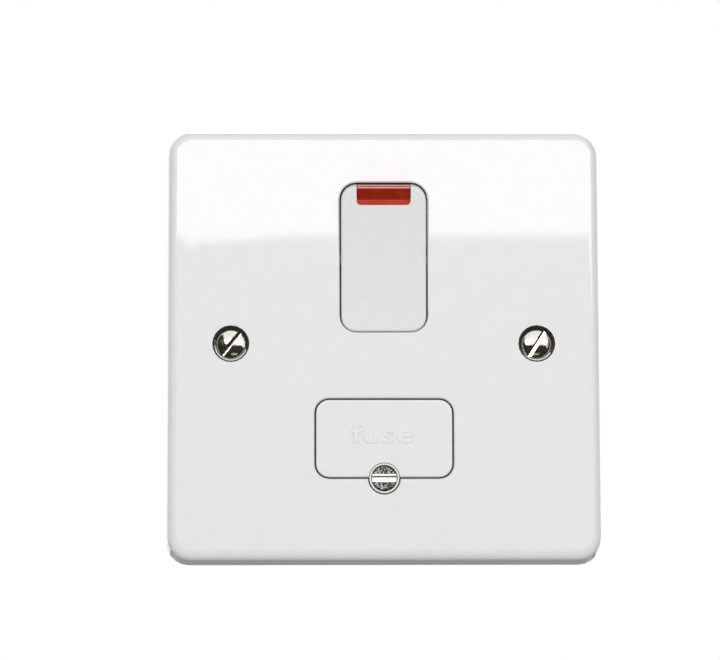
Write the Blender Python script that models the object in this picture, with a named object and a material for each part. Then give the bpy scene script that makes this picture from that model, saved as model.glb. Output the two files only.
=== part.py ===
"""A white one-gang double-pole switch with a fused spur: a rocker with a neon window above a pull-out
fuse carrier, on a square moulded plate. X runs to the right, Y back into the wall and Z up. The origin
is the middle of the plate's rear edge, on the plane of the wall. Sizes are in millimetres until a mesh
is made, and angles are in degrees."""

import math

import bmesh
import bpy
from mathutils import Matrix, Vector

MM = 0.001

# Clearances and modelling allowances
CLEAR = 0.3  # between pieces that seat on each other or run in each other
BURY = 0.4  # how far a rib or boss reaches into the wall that carries it
OVER = 1.0  # how far a hole's tool reaches past the face it opens

# Faceplate
PLATE_SIZE = 86.0
PLATE_DEPTH = 9.0
PLATE_CORNER = 4.5
PLATE_FILLET = 2.0
PLATE_DRAFT = 0.45
FACE_WALL = 2.3
RIM_WALL = 2.2
LIP = 0.25  # chamfer round each opening in the face
GUIDE_WALL = 1.5  # collars behind the two openings
RIB_WALL = 1.1

# Plate screws, on the two lugs of a standard wall box
BOX_PITCH = 60.3
PLATE_SCREW_RADIUS = 1.75
PLATE_SCREW_LENGTH = 25.0
PLATE_HEAD_RADIUS = 3.0
PLATE_HEAD_DOME = 0.85
PLATE_RECESS_RADIUS = 3.65
PLATE_RECESS_DEPTH = 1.5
PLATE_BOSS_WALL = 1.6
PLATE_BOSS_FOOT = 1.2  # how far the foot of a boss spreads
PLATE_BOSS_SHORT = 0.8  # rear end of a boss, ahead of the wall plane
PLATE_SLOT = 0.95
PLATE_SLOT_DEPTH = 1.15
BOSS_RIB_DEPTH = 2.6
SIDE_RIB_DEPTH = 1.4
LEFT_SLOT_ANGLE = 50.6
RIGHT_SLOT_ANGLE = 57.0

# Rocker
ROCKER_Z = 17.25
ROCKER_WIDTH = 16.8
ROCKER_ARC = 15.1
ROCKER_CORNER = 3.0
ROCKER_EDGE = 0.5
ROCKER_WALL = 1.5
ROCKER_PROUD = 1.2
ROCKER_DISH = 0.45
ROCKER_SKIRT = 2.3  # how far the skirt reaches behind the pivot
ROCKER_TILT = 6.0
PIVOT_DEPTH = 3.8  # pivot behind the face of the plate
TRUNNION_RADIUS = 1.2
COLLAR_DEPTH = 5.2
OPENING_STEPS = 2  # in the round ends of the opening

# Neon window
LENS_WIDTH = 10.7
LENS_FACE = 3.2  # height of the window on the rocker's face
LENS_CORNER = 0.9
LENS_GAP = 0.12
LENS_FLANGE = 0.8
LENS_FLANGE_REACH = 0.7
LENS_REACH = 4.6  # how far the window wraps back over the rocker's end

# Plungers and their springs, in the rocker's own frame
POLE_INSET = 3.7  # middle of a pole in from the rocker's side
PLUNGER_RADIUS = 1.5
PLUNGER_REACH = 9.5  # pivot to the plunger's tip
PLUNGER_GAP = 0.25
TUBE_WALL = 0.65
TUBE_REACH = 4.5
SPRING_WIRE = 0.2  # radius of the wire
SPRING_TURNS = 5.0
SPRING_LENGTH = 4.5

# Contact bars that rock on the links
BAR_WIDTH = 5.0
BAR_THICK = 1.0
BAR_LOWER = 6.0
BAR_TAIL = 2.2  # bar left beyond its contact
BAR_TILT = 8.0
BAR_NOTCH = 0.2
BAR_NOTCH_RADIUS = 1.5
BAR_CORNER = 1.0
CONTACT_ARM = 10.0
TIP_GAP = 0.15
RIVET_RADIUS = 1.6
RIVET_HEAD = 0.8
RIVET_SHANK = 0.75
RIVET_TAIL = 0.4
RIVET_EDGE = 0.2

# Brass links
LINK_WIDTH = 3.0
LINK_THICK = 1.0
SADDLE_HEIGHT = 3.2
SADDLE_FOOT = 1.2
SADDLE_ROUND = 1.0
LINK_SPACE = 2.3  # air between the live link and the neutral link that crosses behind it
LINK_BEHIND = 2.35  # air behind the neutral link
LINK_STEP = 6.0  # where the neutral link steps back, above the lower housing screws
LEG_OVERLAP = 1.0  # how far a leg reaches down into its terminal
TONGUE_WIDTH = 5.0

# Rear housing
HOUSING_FRONT = 1.2  # front edge, ahead of the wall plane
HOUSING_WALL = 1.6
HOUSING_CORNER = 2.4
HOUSING_FILLET = 1.0
INNER_WALL = 1.2
HOUSING_SCREW_INSET = 4.4  # from the housing's sides
HOUSING_SCREW_UP = 12.0
HOUSING_SCREW_DOWN = 9.0
HOUSING_SCREW_RADIUS = 1.25
HOUSING_SCREW_HEAD = 2.4
HOUSING_SCREW_HEAD_DEPTH = 1.8
HOUSING_SCREW_BITE = 3.2  # thread held in the plate's boss
COLUMN_RADIUS = 3.0
CHAMBER_CORNER = 2.0
POST_REACH = 2.0  # trunnion posts beyond the plate's collar
RIDGE_TOP = 4.0  # front edge of the wall between the poles, ahead of the bars
RIDGE_CLEAR = 3.0  # from that wall down to the fuse chamber
SEAT_HALF = 5.0  # seats behind the saddles, above and below the pivot
STEP_SEAT = (-9.0, -6.0)  # seats behind the links' lower ends
CROSSING_SEAT = (-13.0, -10.0)

# Terminals
TERMINAL_WIDTH = 7.3
TERMINAL_ABOVE = 0.55  # middle of a supply terminal above its contact's arm
TERMINAL_HEIGHT = 7.6
TERMINAL_DEPTH = 9.5
TERMINAL_EDGE = 0.5
TUNNEL_RADIUS = 2.3
TUNNEL_INSET = 3.4  # tunnel's centre behind the block's front face
TERMINAL_SCREW_RADIUS = 1.6
TERMINAL_SCREW_HEAD = 2.8
SMALL_SLOT = 0.9  # width and depth of the slots in the terminal and housing screws
EARTH_WIDTH = 16.0
EARTH_HEIGHT = 6.0
EARTH_TUNNEL_RADIUS = 1.9
EARTH_PITCH = 8.0

# Fuse carrier
CARRIER_SPARE = 0.7  # carrier's sides beyond the ends of the fuse
CARRIER_HEIGHT = 15.3
CARRIER_Z = -18.75
CARRIER_CORNER = 2.6
CARRIER_EDGE = 0.4
CARRIER_SLAB = 2.2
CARRIER_WALL = 1.0
CARRIER_SKIRT = 5.2
CARRIER_GUIDE = 3.6  # depth of the plate's guide behind its face wall
FUSE_DEPTH = 6.2  # axis of the fuse behind the face of the plate
JAW_HALF = 6.0
JAW_WALL = 0.95
JAW_DEPTH = 7.8
JAW_LIP = 0.25  # how far the mouth of the jaws is narrower than the fuse on each side

# Fuse link
FUSE_LENGTH = 25.4
FUSE_RADIUS = 3.175
FUSE_BODY_RADIUS = 3.0
FUSE_CAP = 6.2
FUSE_CAP_WALL = 0.35

# Fuse clips
CLIP_WIDTH = 3.6
CLIP_THICK = 0.7
CLIP_INSET = 2.5  # middle of a clip in from the end of the fuse
CLIP_FLARE = 0.5
CLIP_REACH = 3.1  # arms ahead of the fuse's axis
CLIP_LEAD = 1.4  # depth of the flared mouth
CHAMBER_SPARE = 3.4  # air behind the clips

# Carrier screw, its cup, its retaining ring and the insert that it screws into
CUP_Z = -26.6
CUP_RADIUS = 2.95
CUP_WALL = 0.33
CUP_FLOOR = 0.6
CUP_DEPTH = 2.35
CUP_GAP = 0.25  # round the cup in the plate's notch
CUP_SEAT = 0.12  # round the cup in the carrier's lug
CARRIER_SCREW_HEAD = 2.42
CARRIER_SCREW_HEAD_DEPTH = 1.4
CARRIER_SCREW_RADIUS = 1.3
CARRIER_SCREW_LENGTH = 10.4
CARRIER_SLOT = 1.5
CARRIER_SLOT_DEPTH = 0.85
LUG_DEPTH = 2.5
RETAINER_THICK = 0.6
RETAINER_WALL = 1.0
INSERT_WALL = 0.55
INSERT_LENGTH = 3.9
INSERT_BEHIND = 2.0  # front of the insert behind the fuse's axis
INSERT_BOSS_WALL = 0.7
SCREW_EDGE = 0.3  # chamfer round a cheese head

# Neon indicator
LAMP_RADIUS = 1.9
LAMP_LENGTH = 8.4
LAMP_TIP = 1.55
LAMP_INSET = 3.9  # below the rocker's end wall
LAMP_BACK = 1.6  # behind the rocker's pivot
LEAD_RADIUS = 0.3
LEAD_BEND = 1.2
LEAD_FOOT = 4.0  # where the leads join the links, below the bars' lower ends
RESISTOR_RADIUS = 1.15
RESISTOR_LENGTH = 6.3
RESISTOR_ASIDE = 1.6  # resistor to the wall of the terminal's pocket
RESISTOR_BACK = 6.0  # behind the lamp
RESISTOR_UP = 7.0  # above the rocker's pivot
RESISTOR_END = 0.4
RESISTOR_BULB = 1.4
CRADLE_HALF = 1.6

# Levels that follow from the sizes above
HALF = PLATE_SIZE / 2
FACE_Y = -PLATE_DEPTH
INNER_Y = FACE_Y + FACE_WALL
PIVOT_Y = FACE_Y + PIVOT_DEPTH
POLE_X = ROCKER_WIDTH / 2 - POLE_INSET
COLLAR_BACK = INNER_Y + COLLAR_DEPTH
GUIDE_BACK = INNER_Y + CARRIER_GUIDE
CARRIER_WIDTH = FUSE_LENGTH + 2 * CARRIER_SPARE
OPENING_HALF_W = ROCKER_WIDTH / 2 + CLEAR
OPENING_HALF_H = ROCKER_ARC + CLEAR
BAR_Y = PIVOT_Y + PLUNGER_REACH + TIP_GAP + BAR_THICK / 2
CREST_Y = BAR_Y + BAR_THICK / 2 - BAR_NOTCH + CLEAR
LINK_Y = CREST_Y + SADDLE_HEIGHT + LINK_THICK / 2
NEUTRAL_Y = LINK_Y + LINK_THICK + LINK_SPACE
FUSE_Y = FACE_Y + FUSE_DEPTH
FUSE_BED = FUSE_RADIUS + CLEAR
CLIP_MIDDLE = FUSE_BED + CLIP_THICK / 2
CLIP_X = FUSE_LENGTH / 2 - CLIP_INSET
CHAMBER_HALF_W = FUSE_LENGTH / 2 + 2 * CLEAR
CHAMBER_HALF_H = CARRIER_HEIGHT / 2 - CARRIER_WALL
CHAMBER_FRONT = GUIDE_BACK + CLEAR
CHAMBER_FLOOR = FUSE_Y + CLIP_MIDDLE + CLIP_THICK / 2 + CHAMBER_SPARE
CHAMBER_BACK = CHAMBER_FLOOR + INNER_WALL
TERMINAL_INNER = CHAMBER_HALF_W + INNER_WALL + CLEAR
TERMINAL_OUTER = TERMINAL_INNER + TERMINAL_WIDTH
TERMINAL_X = (TERMINAL_INNER + TERMINAL_OUTER) / 2
INSIDE_W = TERMINAL_OUTER + CLEAR
INSIDE_Y = NEUTRAL_Y + LINK_THICK / 2 + LINK_BEHIND
TERMINAL_BACK = INSIDE_Y - CLEAR
TERMINAL_FRONT = TERMINAL_BACK - TERMINAL_DEPTH
TERMINAL_Z = ROCKER_Z + CONTACT_ARM + TERMINAL_ABOVE
TERMINAL_TOP = TERMINAL_Z + TERMINAL_HEIGHT / 2
INSIDE_H = TERMINAL_TOP + CLEAR
HOUSING_HALF_W = INSIDE_W + HOUSING_WALL
HOUSING_HALF_H = INSIDE_H + HOUSING_WALL
HOUSING_DEPTH = INSIDE_Y + HOUSING_WALL
HOUSING_SCREW_X = HOUSING_HALF_W - HOUSING_SCREW_INSET
TUNNEL_Y = TERMINAL_FRONT + TUNNEL_INSET
EARTH_FRONT = CHAMBER_BACK + CLEAR
EARTH_Z = TERMINAL_TOP - EARTH_HEIGHT / 2
LEG_X = TERMINAL_X
INSERT_FRONT = FUSE_Y + INSERT_BEHIND
CUP_FRONT = FACE_Y + 0.05
LUG_FRONT = CUP_FRONT + CUP_DEPTH + CLEAR
LUG_BACK = LUG_FRONT + LUG_DEPTH
LAMP_Y = PIVOT_Y + LAMP_BACK
LAMP_Z = ROCKER_Z + ROCKER_ARC - ROCKER_WALL - LAMP_INSET
SHELF_Z = TERMINAL_TOP - TERMINAL_HEIGHT - CLEAR

FINISHES = {
    "white_urea": ((0.83, 0.83, 0.82), 0.32, 0.0),
    "rocker_white": ((0.80, 0.80, 0.795), 0.30, 0.0),
    "housing_white": ((0.74, 0.74, 0.72), 0.45, 0.0),
    "red_lens": ((0.30, 0.012, 0.006), 0.12, 0.0),
    "brass": ((0.70, 0.50, 0.20), 0.30, 1.0),
    "copper": ((0.72, 0.34, 0.18), 0.28, 1.0),
    "silver_alloy": ((0.80, 0.79, 0.76), 0.25, 1.0),
    "nickel": ((0.66, 0.64, 0.60), 0.18, 1.0),
    "zinc_steel": ((0.60, 0.61, 0.62), 0.30, 1.0),
    "spring_steel": ((0.45, 0.46, 0.48), 0.28, 1.0),
    "nylon": ((0.72, 0.68, 0.58), 0.50, 0.0),
    "ceramic": ((0.86, 0.84, 0.78), 0.55, 0.0),
    "lamp_glass": ((0.75, 0.55, 0.45), 0.05, 0.0),
    "resistor_lacquer": ((0.55, 0.36, 0.18), 0.40, 0.0),
    "lead_wire": ((0.62, 0.60, 0.57), 0.30, 1.0),
}


def clear_scene():
    for thing in list(bpy.data.objects):
        bpy.data.objects.remove(thing, do_unlink=True)


def finish_material(slot):
    material = bpy.data.materials.get(slot)
    if material is None:
        colour, roughness, metallic = FINISHES[slot]
        material = bpy.data.materials.new(slot)
        material.use_nodes = True
        shader = material.node_tree.nodes["Principled BSDF"]
        shader.inputs["Base Color"].default_value = (*colour, 1.0)
        shader.inputs["Roughness"].default_value = roughness
        shader.inputs["Metallic"].default_value = metallic
    return material


def right_side(half_w, half_h, radius, arc_steps, side_steps):
    """The right half of a rounded rectangle, from its bottom edge up to its top edge."""
    radius = min(radius, half_w - 0.01, half_h - 0.01)
    points = []
    for step in range(arc_steps + 1):
        angle = math.radians(-90 + 90 * step / arc_steps)
        points.append((half_w - radius * (1 - math.cos(angle)), -half_h + radius * (1 + math.sin(angle))))
    straight = half_h - radius
    for step in range(1, side_steps):
        points.append((half_w, -straight + 2 * straight * step / side_steps))
    for step in range(arc_steps + 1):
        angle = math.radians(90 * step / arc_steps)
        points.append((half_w - radius * (1 - math.cos(angle)), half_h - radius * (1 - math.sin(angle))))
    return points


def whole_outline(half_w, half_h, radius, arc_steps=5, side_steps=1):
    right = right_side(half_w, half_h, radius, arc_steps, side_steps)
    return right + [(-x, z) for x, z in reversed(right)]


def level_loop(outline, depth):
    """An outline laid at a depth, which is a number or a function of the height."""
    if callable(depth):
        return [Vector((x, depth(z), z)) for x, z in outline]
    return [Vector((x, depth, z)) for x, z in outline]


def loft(loops):
    """One closed skin through loops of equal length, each closed across by strips from left to right."""
    mesh = bmesh.new()
    rows = [[mesh.verts.new(point) for point in loop] for loop in loops]
    count = len(loops[0])
    for near, far in zip(rows, rows[1:]):
        for i in range(count):
            j = (i + 1) % count
            mesh.faces.new((near[i], near[j], far[j], far[i]))
    for row in (rows[0], rows[-1]):
        for i in range(count // 2 - 1):
            mesh.faces.new((row[i], row[i + 1], row[count - 2 - i], row[count - 1 - i]))
    bmesh.ops.recalc_face_normals(mesh, faces=mesh.faces)
    return mesh


def prism(outline, axis, low, high):
    """A flat outline carried along an axis. It is given in (y, z), (x, z) or (x, y)."""
    place = {
        "X": lambda a, b, t: Vector((t, a, b)),
        "Y": lambda a, b, t: Vector((a, t, b)),
        "Z": lambda a, b, t: Vector((a, b, t)),
    }[axis]
    mesh = bmesh.new()
    rows = [[mesh.verts.new(place(a, b, t)) for a, b in outline] for t in (low, high)]
    count = len(outline)
    for i in range(count):
        j = (i + 1) % count
        mesh.faces.new((rows[0][i], rows[0][j], rows[1][j], rows[1][i]))
    for row in rows:
        mesh.faces.new(row)
    bmesh.ops.recalc_face_normals(mesh, faces=mesh.faces)
    return mesh


def box(x, y, z):
    return prism(((x[0], y[0]), (x[1], y[0]), (x[1], y[1]), (x[0], y[1])), "Z", z[0], z[1])


def turned(profile, axis, centre, steps=16):
    """A profile of (radius, place along the axis) revolved about that axis through the centre."""
    mesh = bmesh.new()
    rings = []
    for radius, along in profile:
        if radius <= 0:
            rings.append([mesh.verts.new((0, along, 0))])
            continue
        angles = [2 * math.pi * step / steps for step in range(steps)]
        rings.append([mesh.verts.new((radius * math.cos(a), along, radius * math.sin(a))) for a in angles])
    if profile[0][0] > 0:
        rings.append(rings[0])
    for near, far in zip(rings, rings[1:]):
        for i in range(steps):
            j = (i + 1) % steps
            corners = [near[i % len(near)], near[j % len(near)], far[j % len(far)], far[i % len(far)]]
            mesh.faces.new(list(dict.fromkeys(corners)))
    if axis == "X":
        bmesh.ops.rotate(mesh, verts=mesh.verts, matrix=Matrix.Rotation(math.radians(-90), 3, "Z"))
    if axis == "Z":
        bmesh.ops.rotate(mesh, verts=mesh.verts, matrix=Matrix.Rotation(math.radians(90), 3, "X"))
    bmesh.ops.translate(mesh, verts=mesh.verts, vec=centre)
    bmesh.ops.recalc_face_normals(mesh, faces=mesh.faces)
    return mesh


def rod(axis, centre, radius, low, high, steps=16):
    """A plain cylinder. The centre gives its place across the axis, low and high along it."""
    return turned(((0, low), (radius, low), (radius, high), (0, high)), axis, centre, steps)


def rounded_path(points, cut, steps=3):
    """A polyline with each corner replaced by a short curve that starts a set distance before it."""
    points = [Vector(point) for point in points]
    path = [points[0]]
    for before, corner, after in zip(points, points[1:], points[2:]):
        near = corner + (before - corner).normalized() * min(cut, (before - corner).length * 0.49)
        far = corner + (after - corner).normalized() * min(cut, (after - corner).length * 0.49)
        for step in range(steps + 1):
            t = step / steps
            path.append(near * (1 - t) ** 2 + corner * 2 * t * (1 - t) + far * t ** 2)
    path.append(points[-1])
    return path


def ribbon(points, thickness, cut=0.0):
    """The edge outline of a strip bent along a path of (y, z) points."""
    corners = [Vector((y, z, 0)) for y, z in points]
    path = rounded_path(corners, cut) if cut else corners
    left = []
    right = []
    for i, point in enumerate(path):
        before = (point - path[i - 1]).normalized() if i else (path[1] - point).normalized()
        after = (path[i + 1] - point).normalized() if i + 1 < len(path) else before
        along = (before + after).normalized()
        side = Vector((-along.y, along.x, 0)) * (thickness / 2 / max(along.dot(before), 0.3))
        left.append(((point + side).x, (point + side).y))
        right.append(((point - side).x, (point - side).y))
    return left + right[::-1]


def wire(points, radius, sides=5):
    """A round wire swept along a path of 3-D points."""
    mesh = bmesh.new()
    rows = []
    across = None
    for i, point in enumerate(points):
        along = (points[min(i + 1, len(points) - 1)] - points[max(i - 1, 0)]).normalized()
        if across is None:
            across = along.orthogonal().normalized()
        across = (across - along * across.dot(along)).normalized()
        up = along.cross(across)
        angles = [2 * math.pi * side / sides for side in range(sides)]
        row = [point + (across * math.cos(a) + up * math.sin(a)) * radius for a in angles]
        rows.append([mesh.verts.new(corner) for corner in row])
    for near, far in zip(rows, rows[1:]):
        for i in range(sides):
            j = (i + 1) % sides
            mesh.faces.new((near[i], near[j], far[j], far[i]))
    mesh.faces.new(rows[0])
    mesh.faces.new(rows[-1])
    bmesh.ops.recalc_face_normals(mesh, faces=mesh.faces)
    return mesh


def scratch_object(mesh):
    """A temporary object for a Boolean, which takes the bmesh over."""
    data = bpy.data.meshes.new("scratch")
    mesh.to_mesh(data)
    mesh.free()
    thing = bpy.data.objects.new("scratch", data)
    bpy.context.scene.collection.objects.link(thing)
    return thing


def combined(base, operation, tools):
    """The base with every tool joined to it, cut from it or intersected with it."""
    target = scratch_object(base)
    helpers = [scratch_object(tool) for tool in tools]
    for helper in helpers:
        step = target.modifiers.new("step", "BOOLEAN")
        step.operation = operation
        step.solver = "EXACT"
        step.use_hole_tolerant = True
        step.object = helper
    shaped = target.evaluated_get(bpy.context.evaluated_depsgraph_get())
    result = bmesh.new()
    result.from_mesh(shaped.data)
    for thing in [target, *helpers]:
        data = thing.data
        bpy.data.objects.remove(thing, do_unlink=True)
        bpy.data.meshes.remove(data)
    bmesh.ops.remove_doubles(result, verts=result.verts, dist=0.0005)
    bmesh.ops.dissolve_limit(result, angle_limit=math.radians(0.2), verts=result.verts, edges=result.edges)
    return result


def chamfered(mesh, width, least_angle=60.0):
    """Every sharp outer edge of a simple block taken off."""
    edges = [edge for edge in mesh.edges if edge.calc_face_angle_signed(0) > math.radians(least_angle)]
    bmesh.ops.bevel(mesh, geom=edges, offset=width, segments=1, affect="EDGES", clamp_overlap=True)
    return mesh


def mesh_data(name, mesh):
    """The bmesh, in metres, as a smooth-shaded mesh with its real edges kept sharp."""
    bmesh.ops.scale(mesh, vec=(MM, MM, MM), verts=mesh.verts)
    data = bpy.data.meshes.new(name)
    mesh.to_mesh(data)
    mesh.free()
    data.shade_smooth()
    data.set_sharp_from_angle(angle=math.radians(32))
    return data


def place(name, data, slot, at=(0, 0, 0), turn=(0, 0, 0), parent=None):
    """One named piece at its place, or at its place in its parent's frame."""
    if isinstance(data, bmesh.types.BMesh):
        data = mesh_data(name, data)
        data.materials.append(finish_material(slot))
    thing = bpy.data.objects.new(name, data)
    bpy.context.scene.collection.objects.link(thing)
    thing.location = Vector(at) * MM
    thing.rotation_euler = [math.radians(angle) for angle in turn]
    thing.parent = parent
    return thing


def turn_about_x(y, z, degrees):
    """Where a point at (y, z) goes when its piece turns about the X axis."""
    angle = math.radians(degrees)
    return y * math.cos(angle) - z * math.sin(angle), y * math.sin(angle) + z * math.cos(angle)


def pan(half_w, half_h, corner, closed_y, open_y, floor, wall, fillet, draft, edge_steps=2):
    """A moulded pan: a flat face at closed_y with a round edge, and thin walls down to open_y."""
    way = 1 if open_y > closed_y else -1
    face_w = half_w - draft
    face_h = half_h - draft
    loops = []
    for step in range(edge_steps + 1):
        angle = math.radians(90 * step / edge_steps)
        inset = fillet * (1 - math.sin(angle))
        outline = whole_outline(face_w - inset, face_h - inset, max(corner - inset, 0.2))
        loops.append(level_loop(outline, closed_y + way * fillet * (1 - math.cos(angle))))
    loops.append(level_loop(whole_outline(half_w, half_h, corner), open_y))
    inner_corner = max(corner - wall, 0.4)
    loops.append(level_loop(whole_outline(half_w - wall, half_h - wall, inner_corner), open_y))
    inner = whole_outline(face_w - wall, face_h - wall, inner_corner)
    loops.append(level_loop(inner, closed_y + way * floor))
    return loft(loops)


def opening_tool(half_w, corner, levels):
    """A tool for an opening in the face, which has a half height at each of its levels. It flares at the
    front, which leaves the lip's chamfer."""
    flare = LIP + OVER
    front = whole_outline(half_w + flare, levels[0][1] + flare, corner + flare)
    loops = [level_loop(front, FACE_Y - OVER)]
    for depth, half_h in levels:
        loops.append(level_loop(whole_outline(half_w, half_h, corner), depth))
    return loft(loops)


def rocker_opening():
    """Levels of the rocker's opening, whose ends keep one clearance to the rocker's round ends."""
    front = FACE_Y + LIP
    levels = []
    for step in range(OPENING_STEPS + 1):
        ahead = (PIVOT_Y - front) * (1 - step / OPENING_STEPS)
        levels.append((PIVOT_Y - ahead, math.sqrt(OPENING_HALF_H ** 2 - ahead ** 2)))
    levels.append((COLLAR_BACK + OVER, OPENING_HALF_H))
    return levels


def moved(mesh, x=0.0, y=0.0, z=0.0):
    bmesh.ops.translate(mesh, verts=mesh.verts, vec=(x, y, z))
    return mesh


def housing_screw_places():
    return [(side * HOUSING_SCREW_X, z) for z in (HOUSING_SCREW_UP, -HOUSING_SCREW_DOWN) for side in (-1, 1)]


def plate_boss(lug, front):
    """The boss behind one plate screw, on a spread foot, and the rib that ties it to the rim."""
    side = 1 if lug > 0 else -1
    radius = PLATE_SCREW_RADIUS + CLEAR + PLATE_BOSS_WALL
    profile = (
        (0, front),
        (radius + PLATE_BOSS_FOOT, front),
        (radius, INNER_Y + PLATE_BOSS_WALL),
        (radius, -PLATE_BOSS_SHORT),
        (0, -PLATE_BOSS_SHORT),
    )
    ends = sorted((lug + side * (radius - BURY), side * (HALF - RIM_WALL + BURY)))
    rib = box(ends, (front, INNER_Y + BOSS_RIB_DEPTH), (-RIB_WALL / 2, RIB_WALL / 2))
    return [turned(profile, "Y", (lug, 0, 0)), rib]


def plate_recess(lug):
    """The tool for one plate screw: its round recess, the cone under its head and its hole."""
    sink = FACE_Y + PLATE_RECESS_DEPTH
    hole = PLATE_SCREW_RADIUS + CLEAR
    profile = (
        (0, FACE_Y - OVER),
        (PLATE_RECESS_RADIUS, FACE_Y - OVER),
        (PLATE_RECESS_RADIUS, sink),
        (hole, sink + PLATE_RECESS_RADIUS - hole),
        (hole, OVER),
        (0, OVER),
    )
    return turned(profile, "Y", (lug, 0, 0), 20)


def cup_notch():
    """The tool for the round notch that the carrier screw's cup stands in, below the carrier."""
    radius = CUP_RADIUS + CUP_GAP
    flare = radius + LIP + OVER
    profile = (
        (0, FACE_Y - OVER),
        (flare, FACE_Y - OVER),
        (radius, FACE_Y + LIP),
        (radius, GUIDE_BACK + OVER),
        (0, GUIDE_BACK + OVER),
    )
    return turned(profile, "Y", (0, 0, CUP_Z), 24)


def make_front_plate():
    plate = pan(HALF, HALF, PLATE_CORNER, FACE_Y, 0.0, FACE_WALL, RIM_WALL, PLATE_FILLET, PLATE_DRAFT, 4)
    buried = INNER_Y - BURY
    collar_w = OPENING_HALF_W + GUIDE_WALL
    collar = whole_outline(collar_w, OPENING_HALF_H + GUIDE_WALL, ROCKER_CORNER + GUIDE_WALL)
    guide_w = CARRIER_WIDTH / 2 + CLEAR
    guide_h = CARRIER_HEIGHT / 2 + CLEAR
    guide = whole_outline(guide_w + INNER_WALL, guide_h + INNER_WALL, CARRIER_CORNER + INNER_WALL)
    additions = [
        moved(prism(collar, "Y", buried, COLLAR_BACK), z=ROCKER_Z),
        moved(prism(guide, "Y", buried, GUIDE_BACK), z=CARRIER_Z),
    ]
    for x, z in housing_screw_places():
        additions.append(rod("Y", (x, 0, z), COLUMN_RADIUS, buried, COLLAR_BACK, 12))
    rib_z = ROCKER_Z + HOUSING_SCREW_UP
    for side in (-1, 1):
        additions += plate_boss(side * BOX_PITCH / 2, buried)
        ends = sorted((side * (collar_w - BURY), side * (HALF - RIM_WALL + BURY)))
        depth = (buried, INNER_Y + SIDE_RIB_DEPTH)
        additions.append(box(ends, depth, (rib_z - RIB_WALL / 2, rib_z + RIB_WALL / 2)))
    plate = combined(plate, "UNION", additions)

    carrier_opening = [(FACE_Y + LIP, guide_h), (GUIDE_BACK + OVER, guide_h)]
    cuts = [
        moved(opening_tool(OPENING_HALF_W, ROCKER_CORNER + CLEAR, rocker_opening()), z=ROCKER_Z),
        moved(opening_tool(guide_w, CARRIER_CORNER + CLEAR, carrier_opening), z=CARRIER_Z),
        cup_notch(),
    ]
    slot_radius = TRUNNION_RADIUS + CLEAR
    for side in (-1, 1):
        ends = sorted((side * (OPENING_HALF_W - CLEAR), side * (collar_w + OVER)))
        cuts.append(rod("X", (0, PIVOT_Y, ROCKER_Z), slot_radius, *ends))
        depth = (PIVOT_Y, COLLAR_BACK + OVER)
        cuts.append(box(ends, depth, (ROCKER_Z - slot_radius, ROCKER_Z + slot_radius)))
        cuts.append(plate_recess(side * BOX_PITCH / 2))
    bite = COLLAR_BACK - HOUSING_SCREW_BITE - CLEAR
    for x, z in housing_screw_places():
        cuts.append(rod("Y", (x, 0, z), HOUSING_SCREW_RADIUS + CLEAR, bite, COLLAR_BACK + OVER, 10))
    place("front_plate", combined(plate, "DIFFERENCE", cuts), "white_urea")


def rocker_skin(inset, back, edge_steps, wall_steps):
    """Loops of the rocker's skin in its own frame, from the middle of its face to a rear edge."""
    half_w = ROCKER_WIDTH / 2 - inset
    arc = ROCKER_ARC - inset
    corner = max(ROCKER_CORNER - inset, 0.4)
    edge = max(ROCKER_EDGE - inset, 0.1)
    face_end = -(PIVOT_DEPTH + ROCKER_PROUD) + inset
    face_h = math.sqrt(arc ** 2 - (face_end + edge) ** 2)
    loops = []
    for step in range(edge_steps + 1):
        angle = math.radians(90 * step / edge_steps)
        shrink = edge * (1 - math.sin(angle))
        drop = edge * (1 - math.cos(angle))
        outline = whole_outline(half_w - shrink, face_h - shrink, corner - min(shrink, corner / 2), 5, 4)
        loops.append(
            level_loop(outline, lambda z, d=drop: face_end + d + ROCKER_DISH * (1 - (z / face_h) ** 2))
        )
    wall_start = face_end + edge + ROCKER_DISH + 0.4
    for step in range(wall_steps + 1):
        depth = wall_start + (back - wall_start) * step / wall_steps
        outline = whole_outline(half_w, math.sqrt(arc ** 2 - depth ** 2), corner, 5, 4)
        loops.append(level_loop(outline, depth))
    return loops


def rocker_shell(outer_inset, inner_inset, back):
    return loft(rocker_skin(outer_inset, back, 3, 3) + rocker_skin(inner_inset, back, 1, 2)[::-1])


def lens_window(grow, back):
    """The window's outline as a prism through the rocker's face and upper end."""
    half_w = LENS_WIDTH / 2 + grow
    bottom = math.sqrt(ROCKER_ARC ** 2 - (PIVOT_DEPTH + ROCKER_PROUD - ROCKER_EDGE) ** 2) - LENS_FACE - grow
    top = ROCKER_ARC + OVER
    front = -(PIVOT_DEPTH + ROCKER_PROUD) - OVER
    outline = whole_outline(half_w, (top - bottom) / 2, LENS_CORNER, 4)
    return moved(prism(outline, "Y", front, back + grow), z=(bottom + top) / 2)


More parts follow.
